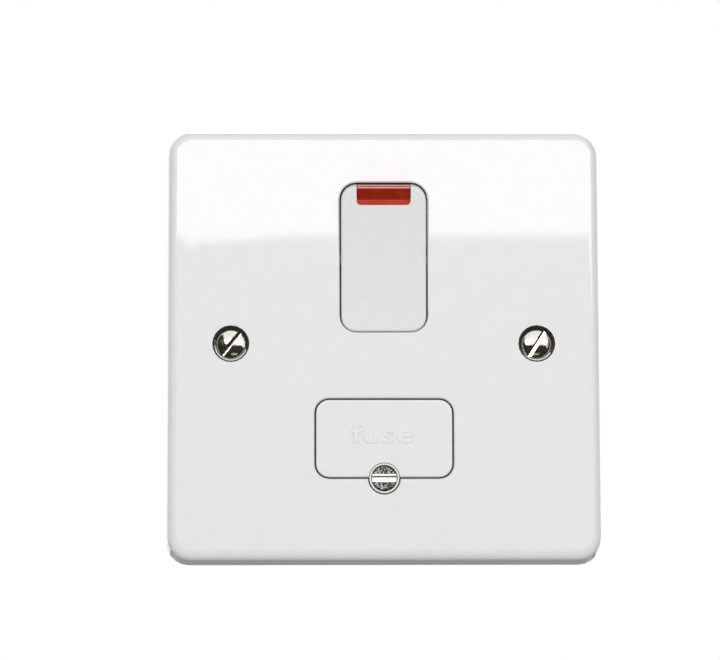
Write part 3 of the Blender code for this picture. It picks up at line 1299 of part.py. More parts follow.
def make_housing():
    size = (HOUSING_HALF_W, HOUSING_HALF_H, HOUSING_CORNER)
    tray = pan(*size, HOUSING_DEPTH, -HOUSING_FRONT, HOUSING_WALL, HOUSING_WALL, HOUSING_FILLET, 0.0)
    floor = INSIDE_Y + BURY
    body = combined(tray, "UNION", inner_walls(floor) + link_seats(floor))
    place("housing", combined(body, "DIFFERENCE", housing_holes()), "housing_white")


def main():
    clear_scene()
    make_front_plate()
    make_housing()
    rocker = make_rocker()
    make_plungers(rocker)
    make_contact_bars()
    make_links()
    make_terminals()
    make_fuse_carrier()
    make_carrier_screw()
    make_fuse_link()
    make_plate_screws()
    make_housing_screws()
    make_neon()


main()
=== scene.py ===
import math

import bmesh
import bpy
from mathutils import Matrix, Vector


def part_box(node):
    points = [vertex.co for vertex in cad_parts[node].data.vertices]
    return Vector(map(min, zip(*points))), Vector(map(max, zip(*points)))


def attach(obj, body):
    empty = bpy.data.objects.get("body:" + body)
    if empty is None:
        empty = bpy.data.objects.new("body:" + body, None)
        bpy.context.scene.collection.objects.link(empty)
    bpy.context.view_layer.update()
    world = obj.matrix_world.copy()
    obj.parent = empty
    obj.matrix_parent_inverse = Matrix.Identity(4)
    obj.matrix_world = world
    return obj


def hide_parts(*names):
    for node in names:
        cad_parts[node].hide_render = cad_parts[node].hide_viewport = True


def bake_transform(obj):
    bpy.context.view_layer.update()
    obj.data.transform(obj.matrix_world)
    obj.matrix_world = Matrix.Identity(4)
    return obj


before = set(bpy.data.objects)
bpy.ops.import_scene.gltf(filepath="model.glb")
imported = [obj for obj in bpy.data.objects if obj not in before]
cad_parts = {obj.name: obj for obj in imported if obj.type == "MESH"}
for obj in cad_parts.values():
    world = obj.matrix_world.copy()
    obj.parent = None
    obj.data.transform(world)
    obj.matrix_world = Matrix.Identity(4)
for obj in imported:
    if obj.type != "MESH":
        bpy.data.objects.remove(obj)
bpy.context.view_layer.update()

mm = 0.001
print("stage 1: frame loaded,", len(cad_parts), "nodes")


# Small tools that the rest of the script leans on

def linear(hexCode):
    # sRGB hex to the linear colour that the shaders work in
    parts = [int(hexCode[i:i + 2], 16) / 255 for i in (0, 2, 4)]
    return tuple(c / 12.92 if c <= 0.04045 else ((c + 0.055) / 1.055) ** 2.4 for c in parts) + (1,)


def addNode(tree, kind, values=None, links=None, **settings):
    node = tree.nodes.new(kind)
    for name, value in settings.items():
        setattr(node, name, value)
    for socket, value in (values or {}).items():
        node.inputs[socket].default_value = value
    for socket, source in (links or {}).items():
        tree.links.new(source, node.inputs[socket])
    return node


def startMaterial(name):
    material = bpy.data.materials.new(name)
    material.use_nodes = True
    material.node_tree.nodes.clear()
    return material, material.node_tree


def setStops(ramp, stops):
    # Stops are (position, colour)
    elements = ramp.color_ramp.elements
    while len(elements) < len(stops):
        elements.new(0.5)
    for element, (position, colour) in zip(elements, stops):
        element.position = position
        element.color = colour


def surface(name):
    # One material from its row in stuffs, in the piece's own space. Parts with the same noise share it.
    material, tree = startMaterial(name)
    row = stuffs[name]
    where = addNode(tree, "ShaderNodeTexCoord").outputs["Object"]
    noises = {}
    for noise in dict.fromkeys(row[part][0] for part in ("tone", "rough", "relief") if part in row):
        size, detail, stretch = (noise + ((1, 1, 1),))[:3]
        scaled = addNode(tree, "ShaderNodeMapping", {"Scale": stretch}, {"Vector": where})
        values = {"Scale": 1 / (size * mm), "Detail": detail, "Roughness": 0.55}
        blotches = addNode(tree, "ShaderNodeTexNoise", values, {"Vector": scaled.outputs[0]})
        noises[noise] = blotches.outputs["Fac"]
    noise, darkHex, lightHex = row["tone"]
    low, high = row.get("contrast", (0.35, 0.65))
    ramp = addNode(tree, "ShaderNodeValToRGB", links={"Fac": noises[noise]})
    setStops(ramp, [(low, linear(darkHex)), (high, linear(lightHex))])
    links = {"Base Color": ramp.outputs["Color"]}
    # Painted highlights and reflections, laid over the tone by height in the piece's own space
    if "bands" in row:
        bottom, top = row["bandSpan"]
        height = addNode(tree, "ShaderNodeSeparateXYZ", links={0: where}).outputs["Z"]
        values = {"From Min": bottom * mm, "From Max": top * mm}
        share = addNode(tree, "ShaderNodeMapRange", values, {"Value": height}).outputs[0]
        band = addNode(tree, "ShaderNodeValToRGB", links={"Fac": share})
        setStops(band, [
            ((z - bottom) / (top - bottom), linear(hexCode)[:3] + (amount,))
            for z, hexCode, amount in row["bands"]])
        links["Base Color"] = addNode(tree, "ShaderNodeMix", links={
            0: band.outputs["Alpha"], 6: ramp.outputs["Color"], 7: band.outputs["Color"]},
            data_type="RGBA").outputs[2]
    if "rough" in row:
        noise, low, high = row["rough"]
        values = {"From Min": 0.3, "From Max": 0.7, "To Min": low, "To Max": high}
        links["Roughness"] = addNode(tree, "ShaderNodeMapRange", values, {"Value": noises[noise]}).outputs[0]
    if "relief" in row:
        noise, height = row["relief"]
        bump = addNode(tree, "ShaderNodeBump", {"Distance": height * mm}, {"Height": noises[noise]})
        links["Normal"] = bump.outputs[0]
    shader = addNode(tree, "ShaderNodeBsdfPrincipled", row["fixed"], links)
    addNode(tree, "ShaderNodeOutputMaterial", links={"Surface": shader.outputs[0]})
    return material


# Materials, each for one real stuff and the way its surface was made, except the painted recess shade of the
# screw cups and the painted highlights on the red lens. A tone, a rough and a relief each begin with a
# noise: its size in millimetres, its detail, and the stretch of drawn or milled lines. A tone then runs from
# a dark to a light colour, over the contrast's part of the noise. A rough runs from one roughness to
# another, and a relief has a height in millimetres.

stuffs = {
    # Urea pressed in a polished steel tool: dead white, with a hard mirror skin and a trace of orange peel
    "mouldedUrea": {
        "tone": ((3.5, 3), "EFEFEF", "F1F1F1"), "relief": ((1.2, 2), 0.0002),
        "fixed": {"Roughness": 0.032, "IOR": 1.5}},
    # Polycarbonate from a fine blasted tool: a shade greyer than the plate, and softer in its shine
    "mouldedPolycarbonate": {
        "tone": ((2.5, 3), "EDECEC", "EFEEEE"), "relief": ((0.35, 2), 0.001),
        "fixed": {"Roughness": 0.22, "IOR": 1.58}},
    # Filled thermoset out of a plain tool: matt and chalky, with the grain of its filler
    "mouldedThermoset": {
        "tone": ((0.5, 4), "D3D3CF", "DDDDDA"), "rough": ((2.0, 2), 0.42, 0.58), "relief": ((0.5, 4), 0.01),
        "fixed": {"IOR": 1.55}},
    # Bright nickel over turned brass: a near mirror, with faint turning marks and a warm cast
    "platedNickel": {
        "tone": ((0.8, 3), "E6E2DB", "F4F2EE"), "rough": ((0.45, 3), 0.04, 0.1), "relief": ((0.45, 3), 0.02),
        "fixed": {"Metallic": 1.0}},
    # Dull zinc on cropped steel: speckled grey with crystals of uneven shine
    "platedZinc": {
        "tone": ((0.22, 4), "8F8F8C", "C9C9C5"), "rough": ((0.44, 3), 0.24, 0.44),
        "relief": ((0.22, 4), 0.004), "fixed": {"Metallic": 1.0}},
    # Zinc gone blotchy with handling: dark brown-grey patches between crystals that still shine
    "agedZinc": {
        "tone": ((0.32, 5), "1E1A15", "B4B0A8"), "contrast": (0.46, 0.62), "rough": ((0.32, 2), 0.26, 0.46),
        "relief": ((0.32, 5), 0.012), "fixed": {"Metallic": 1.0}},
    # Painted shade on the outside of the screw cups, for the shadow in the recess round each plate screw's
    # head: brownish black and nearly matt
    "blackedSteel": {
        "tone": ((0.5, 3), "231F1A", "352F27"), "rough": ((0.5, 3), 0.45, 0.6), "fixed": {"IOR": 1.5}},
    # Fresh cut in the plated screws: bright steel with the cutter's fine lines
    "milledSteel": {
        "tone": ((0.15, 3, (0.3, 1, 3)), "DAD8D3", "F0EFEC"), "rough": ((0.15, 3, (0.3, 1, 3)), 0.26, 0.4),
        "relief": ((0.15, 3, (0.3, 1, 3)), 0.002), "fixed": {"Metallic": 1.0}},
    # Extruded and cut brass: yellow metal with fine draw lines along it and a light brown tarnish
    "drawnBrass": {
        "tone": ((2.2, 4), "A98A4B", "CDB06C"), "rough": ((0.5, 3, (1, 1, 6)), 0.24, 0.38),
        "relief": ((0.5, 3, (1, 1, 6)), 0.003), "fixed": {"Metallic": 1.0}},
    # Rolled copper strip: pinkish metal, brushed along the strip
    "rolledCopper": {
        "tone": ((1.8, 4), "A9664A", "CB8A68"), "rough": ((0.4, 3, (8, 1, 1)), 0.22, 0.36),
        "relief": ((0.4, 3, (8, 1, 1)), 0.002), "fixed": {"Metallic": 1.0}},
    # Cold headed silver alloy: pale, slightly frosted, going yellowish where it tarnishes
    "headedSilver": {
        "tone": ((0.9, 3), "B9B6AC", "DCDAD2"), "rough": ((0.3, 3), 0.2, 0.34), "relief": ((0.3, 3), 0.002),
        "fixed": {"Metallic": 1.0}},
    # Hard drawn spring wire with its drawing film: dark grey, half bright
    "oiledSpringSteel": {
        "tone": ((0.3, 3), "6B6B6A", "8E8E8C"), "rough": ((0.7, 2), 0.26, 0.4), "relief": ((0.3, 3), 0.002),
        "fixed": {"Metallic": 1.0}},
    # Unpigmented nylon: milky, a little translucent and waxy
    "naturalNylon": {
        "tone": ((1.5, 3), "D9D5C6", "E6E3D8"), "rough": ((0.6, 2), 0.34, 0.46),
        "fixed": {"IOR": 1.53, "Subsurface Weight": 0.15, "Subsurface Radius": (mm, mm, mm)}},
    # Unglazed steatite tube: off-white with a fine dry grain
    "firedCeramic": {
        "tone": ((0.3, 4), "D6D0C2", "E9E4D8"), "rough": ((1.2, 2), 0.5, 0.66), "relief": ((0.3, 4), 0.006),
        "fixed": {"IOR": 1.6}},
    # Thin soda glass tube: clear, with a slight flow waviness
    "lampGlass": {
        "tone": ((1.4, 2), "F1F2F0", "FBFBFA"), "rough": ((1.4, 2), 0.01, 0.04), "relief": ((1.4, 2), 0.006),
        "fixed": {"IOR": 1.5, "Transmission Weight": 1.0}},
    # Dipped resistor lacquer: a thick glossy beige coat of uneven depth
    "dippedLacquer": {
        "tone": ((1.1, 2), "B79B6B", "CDB184"), "rough": ((0.5, 2), 0.16, 0.3), "relief": ((1.1, 2), 0.01),
        "fixed": {"IOR": 1.52}},
    # Hot tinned copper lead: silvery, with soft runs in the tin
    "tinnedWire": {
        "tone": ((0.7, 3), "AFAFAC", "D6D6D3"), "rough": ((0.7, 3), 0.2, 0.36), "relief": ((0.7, 3), 0.006),
        "fixed": {"Metallic": 1.0}},
    # Red polycarbonate with a hard polish: deep and glossy, with a painted highlight line and a painted pale
    # pink reflection at its top, by height. A band's stops are height in millimetres, colour, and 1 where it
    # shows or 0 where it doesn't.
    "redPolycarbonate": {
        "tone": ((1.6, 3), "90230F", "9C2B15"), "relief": ((0.5, 2), 0.0004), "bandSpan": (28.0, 31.6),
        "bands": [
            (30.56, "F2ACA4", 0), (30.62, "F2ACA4", 1), (30.78, "F2ACA4", 1), (30.84, "A63020", 0),
            (31.0, "A63020", 0), (31.06, "C94632", 1), (31.14, "EBA598", 1)],
        "fixed": {"Roughness": 0.07, "IOR": 1.58, "Transmission Weight": 0.08}},
    # The same polycarbonate in a thin lip with the white rocker close behind it: a lighter red
    "redOverWhite": {
        "tone": ((1.6, 3), "C3412D", "CE4A36"), "relief": ((0.5, 2), 0.0004),
        "fixed": {"Roughness": 0.07, "IOR": 1.58, "Transmission Weight": 0.08}},
}
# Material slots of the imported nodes
finish = {
    "white_urea": surface("mouldedUrea"),
    "rocker_white": surface("mouldedPolycarbonate"),
    "housing_white": surface("mouldedThermoset"),
    "red_lens": surface("redPolycarbonate"),
    "brass": surface("drawnBrass"),
    "copper": surface("rolledCopper"),
    "silver_alloy": surface("headedSilver"),
    "nickel": surface("platedNickel"),
    "zinc_steel": surface("platedZinc"),
    "spring_steel": surface("oiledSpringSteel"),
    "nylon": surface("naturalNylon"),
    "ceramic": surface("firedCeramic"),
    "lamp_glass": surface("lampGlass"),
    "resistor_lacquer": surface("dippedLacquer"),
    "lead_wire": surface("tinnedWire"),
}
milled = surface("milledSteel")
aged = surface("agedZinc")
paintedShade = surface("blackedSteel")
redOverWhite = surface("redOverWhite")
print("stage 2: materials made,", len(stuffs))


# Nodes that are carried over: their finish, and edges softened as the tool or the press leaves them

softEdge = {
    "front_plate": 0.07, "rocker": 0.2, "fuse_carrier": 0.1, "housing": 0.15, "neon_lens": 0.05,
    "carrier_screw_cup": 0.05, "white_urea": 0.1, "brass": 0.09, "copper": 0.08, "nickel": 0.08,
    "other": 0.06,
}


def soften(piece, width, sharpest):
    # Width in millimetres, on edges that turn by more than sharpest degrees
    rounding = piece.modifiers.new("soften", "BEVEL")
    rounding.width = width * mm
    rounding.segments = 2
    rounding.limit_method = "ANGLE"
    rounding.angle_limit = math.radians(sharpest)
    rounding.harden_normals = True
    rounding.use_clamp_overlap = True


def refine(node, width):
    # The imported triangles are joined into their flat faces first, so that only real edges are rounded
    mesh = node.data
    for layer in ("custom_normal", "sharp_edge"):
        if layer in mesh.attributes:
            mesh.attributes.remove(mesh.attributes[layer])
    for face in mesh.polygons:
        face.use_smooth = True
    weld = node.modifiers.new("weld", "WELD")
    weld.merge_threshold = 0.001 * mm
    flatten = node.modifiers.new("flatten", "DECIMATE")
    flatten.decimate_type = "DISSOLVE"
    flatten.angle_limit = math.radians(0.5)
    soften(node, width, 32)
    weighted = node.modifiers.new("weighted", "WEIGHTED_NORMAL")
    weighted.keep_sharp = True


for name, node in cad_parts.items():
    stuff = node.data.materials[0].name.split(".")[0]
    node.data.materials[0] = finish[stuff]
    refine(node, softEdge.get(name, softEdge.get(stuff, softEdge["other"])))
print("stage 3: nodes carried over")


# Screws, turned and slotted. Their shapes are in millimetres, with the head's front at y = 0.

def newPiece(name, mesh, stuff, body, *coats):
    # The slot's own finish, unless the piece has coats of its own. With no body it is left unattached.
    piece = bpy.data.objects.new(name, mesh)
    bpy.context.scene.collection.objects.link(piece)
    for coat in coats or (finish[stuff],):
        mesh.materials.append(coat)
    if body:
        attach(piece, body)
    return piece


def meshFrom(bm, name, place, sharpest):
    # Shaded mesh of bm put in its place, which keeps a crease where edges turn by more than sharpest degrees
    bmesh.ops.recalc_face_normals(bm, faces=bm.faces)
    bm.transform(place)
    if place.determinant() < 0:
        bmesh.ops.reverse_faces(bm, faces=bm.faces)
    mesh = bpy.data.meshes.new(name)
    bm.to_mesh(mesh)
    bm.free()
    for face in mesh.polygons:
        face.use_smooth = True
    mesh.set_sharp_from_angle(angle=math.radians(sharpest))
    return mesh


def lathe(bm, profile, steps, ring=False):
    # Profile points are (radius, y), from the front to the back, and a radius of 0 closes the end.
    # A ring's profile goes round its section instead.
    rings = []
    for radius, y in profile:
        if radius == 0:
            rings.append([bm.verts.new((0, y, 0))])
            continue
        turn = [2 * math.pi * i / steps for i in range(steps)]
        rings.append([bm.verts.new((radius * math.cos(a), y, radius * math.sin(a))) for a in turn])
    following = rings[1:] + rings[:1] if ring else rings[1:]
    for first, second in zip(rings, following):
        for i in range(steps):
            j = (i + 1) % steps
            ahead = [first[i % len(first)], first[j % len(first)]]
            behind = [second[j % len(second)], second[i % len(second)]]
            bm.faces.new(list(dict.fromkeys(ahead + behind)))


def joinRows(bm, rows):
    # A closed tube through rows of points, capped at both ends
    count = len(rows[0])
    for first, second in zip(rows, rows[1:]):
        for k in range(count):
            j = (k + 1) % count
            bm.faces.new((first[k], first[j], second[j], second[k]))
    bm.faces.new(rows[0])
    bm.faces.new(list(reversed(rows[-1])))


def threadRidge(bm, radius, depth, pitch, start, end, steps=32):
    # A closed ridge of triangular section wound round the shank, running out over half a turn at both ends
    count = int((end - start) / pitch * steps)
    foot = radius - 0.12 * depth
    footSpan = 0.44 * pitch
    crestSpan = 0.06 * pitch
    rows = []
    for i in range(count + 1):
        angle = 2 * math.pi * i / steps
        y = start + pitch * i / steps
        crest = radius + depth * min(1, i / (steps * 0.5), (count - i) / (steps * 0.5))
        section = [(foot, -footSpan), (crest, -crestSpan), (crest, crestSpan), (foot, footSpan)]
        rows.append([
            bm.verts.new((r * math.cos(angle), y + shift, r * math.sin(angle))) for r, shift in section])
    joinRows(bm, rows)


def flatHead(radius, chamfer, depth):
    return [(0, 0), (radius - chamfer, 0), (radius, chamfer), (radius, depth)]


def dome(radius, rise, rings=9):
    # Profile of a spherical cap from its middle to its rim
    ball = (radius ** 2 + rise ** 2) / (2 * rise)
    points = [(0, 0)]
    for i in range(1, rings + 1):
        lean = math.asin(radius / ball) * i / rings
        points.append((ball * math.sin(lean), ball * (1 - math.cos(lean))))
    return points


def shank(radius, start, end, taper=0.4, point=0.5):
    # Straight shank with a chamfered end
    return [(radius, start), (radius, end - point), (radius - taper, end), (0, end)]


def cutSlot(mesh, floor, angle, reach=5, above=1, slack=0.001):
    # The slot is milled straight across the head. Floor points are (across the slot, depth).
    head = bpy.data.objects.new("headBlank", mesh)
    cutterMesh = bpy.data.meshes.new("millingCutter")
    section = [(floor[-1][0], -above), (floor[0][0], -above)] + floor
    bm = bmesh.new()
    joinRows(bm, [[bm.verts.new((x, y, z)) for z, y in section] for x in (-reach, reach)])
    bmesh.ops.recalc_face_normals(bm, faces=bm.faces)
    bm.transform(Matrix.Rotation(angle, 4, "Y"))
    bm.to_mesh(cutterMesh)
    bm.free()
    cutter = bpy.data.objects.new("millingCutter", cutterMesh)
    for item in (head, cutter):
        bpy.context.scene.collection.objects.link(item)
    cut = head.modifiers.new("slot", "BOOLEAN")
    cut.operation = "DIFFERENCE"
    cut.solver = "EXACT"
    cut.object = cutter
    done = bpy.data.meshes.new_from_object(head.evaluated_get(bpy.context.evaluated_depsgraph_get()))
    for item in (head, cutter):
        bpy.data.objects.remove(item)
    # Faces inside the slot take the piece's second coat
    across = Matrix.Rotation(angle, 4, "Y") @ Vector((0, 0, 1))
    deepest = max(y for z, y in floor)
    for face in done.polygons:
        between = floor[-1][0] - slack < face.center.dot(across) < floor[0][0] + slack
        face.material_index = 1 if between and face.center.y < deepest + slack else 0
    return done


def screw(name, stuff, coats, body, place, profile, floor, angle, thread, steps):
    # Place is (x, y of the head's front, z, 1 where the head faces the room and -1 where it faces the wall)
    bm = bmesh.new()
    lathe(bm, profile, steps)
    blank = bpy.data.meshes.new("headBlank")
    bm.to_mesh(blank)
    bm.free()
    bm = bmesh.new()
    bm.from_mesh(cutSlot(blank, floor, angle))
    threadRidge(bm, **thread)
    x, front, z, turn = place
    stand = Matrix.Translation((x * mm, front * mm, z * mm)) @ Matrix.Diagonal((mm, mm * turn, mm, 1))
    piece = newPiece(name, meshFrom(bm, name, stand, sharpest=18), stuff, body, *coats)
    soften(piece, width=0.05, sharpest=38)
    return piece


plateScrew = {
    "x": 30.15, "front": -8.96, "radius": 3.0, "rise": 0.82, "edge": 0.12, "neck": 1.75, "neckDepth": 1.35,
    "slotWidth": 0.98, "slotDepth": 0.8, "hollow": 0.1, "angle": {"left": 50.6, "right": 57.0},
    "valley": {"left": -0.12, "right": 0.08},
    "shank": 1.62, "end": 24.9, "threadStart": 3.0, "threadEnd": 24.2, "pitch": 0.6, "depth": 0.14,
    "steps": 96,
}
# Pressed cup round each plate screw's head, which seats in the plate's recess: bright near the screw's axis,
# and black further out than blackBeyond, as painted shade for the shadow in the recess
screwCup = {
    "section": [(3.05, -8.14), (3.26, -8.262), (3.28, -8.5), (3.6, -8.78), (3.6, -7.55), (3.06, -7.4)],
    "blackBeyond": 3.265,
}

for side, x in (("left", -plateScrew["x"]), ("right", plateScrew["x"])):
    half = plateScrew["slotWidth"] / 2
    depth = plateScrew["slotDepth"]
    brim = depth - plateScrew["hollow"]
    neck = plateScrew["rise"] + plateScrew["neckDepth"]
    profile = dome(plateScrew["radius"], plateScrew["rise"])
    profile += [(plateScrew["radius"], plateScrew["rise"] + plateScrew["edge"]), (plateScrew["neck"], neck)]
    profile += shank(plateScrew["shank"], neck, plateScrew["end"])
    piece = screw(
        "plateScrew" + side.title(), "nickel", (finish["nickel"], finish["nickel"]), "frame",
        (x, plateScrew["front"], 0, 1), profile,
        [(half, brim), (plateScrew["valley"][side], depth), (-half, brim)],
        -math.radians(plateScrew["angle"][side]),
        {"radius": plateScrew["shank"], "depth": plateScrew["depth"], "pitch": plateScrew["pitch"],
         "start": plateScrew["threadStart"], "end": plateScrew["threadEnd"]},
        plateScrew["steps"])
    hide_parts("plate_screw_" + side)
    bm = bmesh.new()
    lathe(bm, screwCup["section"], plateScrew["steps"], ring=True)
    stand = Matrix.Translation((x * mm, 0, 0)) @ Matrix.Scale(mm, 4)
    mesh = meshFrom(bm, "screwCup" + side.title(), stand, sharpest=30)
    # Faces further out than blackBeyond take the painted shade
    for face in mesh.polygons:
        fromAxis = Vector((face.center.x - x * mm, face.center.z)).length
        face.material_index = 1 if fromAxis > screwCup["blackBeyond"] * mm else 0
    newPiece("screwCup" + side.title(), mesh, "nickel", "frame", finish["nickel"], paintedShade)

carrierScrew = {
    "front": -8.9, "z": -26.6, "radius": 2.42, "chamfer": 0.16, "head": 1.4,
    "floor": [(0.9, 0.2), (0.5, 0.2), (0.5, 1.15), (-0.75, 1.15)],
    "shank": 1.18, "end": 10.4, "threadStart": 6.6, "threadEnd": 9.9, "pitch": 0.5, "depth": 0.11,
    "steps": 96,
}
profile = flatHead(carrierScrew["radius"], carrierScrew["chamfer"], carrierScrew["head"])
profile += shank(carrierScrew["shank"], carrierScrew["head"], carrierScrew["end"])
piece = screw(
    "carrierScrew", "zinc_steel", (aged, milled), "carrier_screw_body",
    (0, carrierScrew["front"], carrierScrew["z"], 1), profile, carrierScrew["floor"], 0,
    {"radius": carrierScrew["shank"], "depth": carrierScrew["depth"], "pitch": carrierScrew["pitch"],
     "start": carrierScrew["threadStart"], "end": carrierScrew["threadEnd"]},
    carrierScrew["steps"])
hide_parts("carrier_screw")

# Terminal and housing screws. Each kind stops with its slot at its own angle, slotTurn radians for each
# millimetre of its length.
rearScrew = {
    "slot": 0.9, "slotTurn": 0.5, "chamfer": 0.3, "pitch": 0.6, "depth": 0.12, "threadLength": 6.5,
    "underHead": 0.8, "beforeEnd": 0.5, "steps": 48,
    "terminal": {"head": 1.45, "core": 1.48}, "housing": {"head": 1.8, "core": 1.13},
}
for name in list(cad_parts):
    words = name.split("_")
    terminal = words[0] in ("supply", "load", "earth") and "screw" in words
    if not terminal and not name.startswith("housing_screw"):
        continue
    kind = rearScrew["terminal" if terminal else "housing"]
    low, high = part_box(name)
    radius = (high.x - low.x) / 2 / mm
    length = (high.y - low.y) / mm
    profile = flatHead(radius, rearScrew["chamfer"], kind["head"])
    profile += shank(kind["core"], kind["head"], length)
    half = rearScrew["slot"] / 2
    piece = screw(
        words[0] + "".join(word.title() for word in words[1:]), "zinc_steel", (finish["zinc_steel"], milled),
        "frame", ((high.x + low.x) / 2 / mm, high.y / mm, (high.z + low.z) / 2 / mm, -1), profile,
        [(half, rearScrew["slot"]), (-half, rearScrew["slot"])], rearScrew["slotTurn"] * length,
        {"radius": kind["core"], "depth": rearScrew["depth"], "pitch": rearScrew["pitch"],
         "start": max(kind["head"] + rearScrew["underHead"], length - rearScrew["threadLength"]),
         "end": length - rearScrew["beforeEnd"]},
        rearScrew["steps"])
    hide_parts(name)
print("stage 4: screws turned")


# Plunger springs, coiled with a closed turn at each end

spring = {
    "pivotY": -5.2, "pivotZ": 17.25, "tilt": 6, "x": 4.7, "front": -2.45, "length": 4.5, "wire": 0.2,
    "mean": 1.3, "openTurns": 3, "closedPitch": 0.42, "steps": 28, "sides": 8,
}


def springFrame(x):
    # From the rocker's own frame in millimetres to the world at rest
    stand = Matrix.Translation((x * mm, spring["pivotY"] * mm, spring["pivotZ"] * mm))
    return stand @ Matrix.Rotation(math.radians(spring["tilt"]), 4, "X") @ Matrix.Scale(mm, 4)


def springMesh(name, x):
    wire = spring["wire"]
    turns = spring["openTurns"] + 2
    openPitch = (spring["length"] - 2 * wire - 2 * spring["closedPitch"]) / spring["openTurns"]
    bm = bmesh.new()
    rows = []
    for i in range(turns * spring["steps"] + 1):
        turned = i / spring["steps"]
        along = spring["closedPitch"] * (min(turned, 1) + max(turned - turns + 1, 0))
        along += openPitch * min(max(turned - 1, 0), spring["openTurns"])
        angle = 2 * math.pi * turned
        outward = Vector((math.cos(angle), 0, math.sin(angle)))
        centre = outward * spring["mean"] + Vector((0, spring["front"] + wire + along, 0))
        row = []
        for k in range(spring["sides"]):
            lean = 2 * math.pi * k / spring["sides"]
            lift = Vector((0, wire * math.sin(lean), 0))
            row.append(bm.verts.new(centre + outward * wire * math.cos(lean) + lift))
        rows.append(row)
    joinRows(bm, rows)
    return meshFrom(bm, name, springFrame(x), sharpest=50)


for pole, x in (("live", -spring["x"]), ("neutral", spring["x"])):
    name = pole + "PlungerSpring"
    piece = newPiece(name, springMesh(name, x), "spring_steel", None)
    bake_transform(piece)
    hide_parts(pole + "_plunger_spring")
print("stage 5: springs coiled")


# Lip of the neon window, which laps over the rocker's face below it

windowLip = {
    "width": 10.7, "top": 28.34, "bottom": 27.32, "topY": -11.235, "bottomY": -11.09, "corner": 0.85,
    "cornerSteps": 8, "proud": 0.07, "buried": 0.25,
}


def lensLip():
    half = windowLip["width"] / 2
    corner = windowLip["corner"]
    steps = windowLip["cornerSteps"]
    outline = [(half, windowLip["top"])]
    for side in (1, -1):
        for i in range(steps + 1):
            turn = math.radians(90 * (i if side > 0 else steps - i) / steps)
            outline.append((side * (half - corner + corner * math.cos(turn)),
                            windowLip["bottom"] + corner - corner * math.sin(turn)))
    outline.append((-half, windowLip["top"]))
    slope = (windowLip["bottomY"] - windowLip["topY"]) / (windowLip["bottom"] - windowLip["top"])
    bm = bmesh.new()
    rows = []
    for shift in (-windowLip["proud"], windowLip["buried"]):
        front = windowLip["topY"] - slope * windowLip["top"] + shift
        rows.append([bm.verts.new((x, front + slope * z, z)) for x, z in outline])
    joinRows(bm, rows)
    mesh = meshFrom(bm, "lensLip", Matrix.Scale(mm, 4), sharpest=35)
    soften(newPiece("lensLip", mesh, "red_lens", "rocker_body", redOverWhite), width=0.04, sharpest=38)


lensLip()


# Lettering on the fuse carrier

lettering = {
    "word": "fuse", "size": 5.5, "place": (-0.35, -9.0, -19.6), "rise": 0.2, "round": 0.09, "stretch": 1.27,
    "spacing": 1.08, "bolder": 0.02,
}


def carrierWord():
    text = bpy.data.curves.new("carrierWord", "FONT")
    text.body = lettering["word"]
    text.size = lettering["size"] * mm
    text.align_x = "CENTER"
    text.align_y = "BOTTOM_BASELINE"
    text.space_character = lettering["spacing"]
    text.offset = lettering["bolder"] * mm
    text.extrude = lettering["rise"] * mm / 2
    text.bevel_depth = lettering["round"] * mm
    text.bevel_resolution = 2
    text.resolution_u = 8
    loose = bpy.data.objects.new("wordBlank", text)
    bpy.context.scene.collection.objects.link(loose)
    mesh = bpy.data.meshes.new_from_object(loose.evaluated_get(bpy.context.evaluated_depsgraph_get()))
    bpy.data.objects.remove(loose)
    stand = Matrix.Rotation(math.radians(90), 4, "X") @ Matrix.Diagonal((lettering["stretch"], 1, 1, 1))
    mesh.transform(Matrix.Translation([part * mm for part in lettering["place"]]) @ stand)
    return newPiece("carrierWord", mesh, "white_urea", "carrier")


carrierWord()
print("stage 6: lettering placed")


# Stage, in metres: pale floor, one large soft lamp ahead and above, a smaller one behind, and the camera

stageLook = {
    "floorLevel": -0.16, "floorFront": -1.3, "floorSpan": 4, "floorHex": "E6E6E6", "paperGlow": 0.3,
    "worldFill": 0.325, "clothHex": "3A342E", "clothEdge": 0.55, "clothFade": 0.3, "clothBeyond": 0.7,
}


def stageMesh(name, corners, material):
    mesh = bpy.data.meshes.new(name)
    mesh.from_pydata(corners, [], [tuple(range(len(corners)))])
    mesh.materials.append(material)
    item = bpy.data.objects.new(name, mesh)
    bpy.context.scene.collection.objects.link(item)
    return item


def seenRays(tree, rays):
    # 1 for the rays that show the background: from the camera, off gloss and through glass
    seen = rays.outputs["Is Camera Ray"]
    for other in ("Is Glossy Ray", "Is Transmission Ray"):
        either = {0: seen, 1: rays.outputs[other]}
        seen = addNode(tree, "ShaderNodeMath", links=either, operation="MAXIMUM").outputs[0]
    return seen


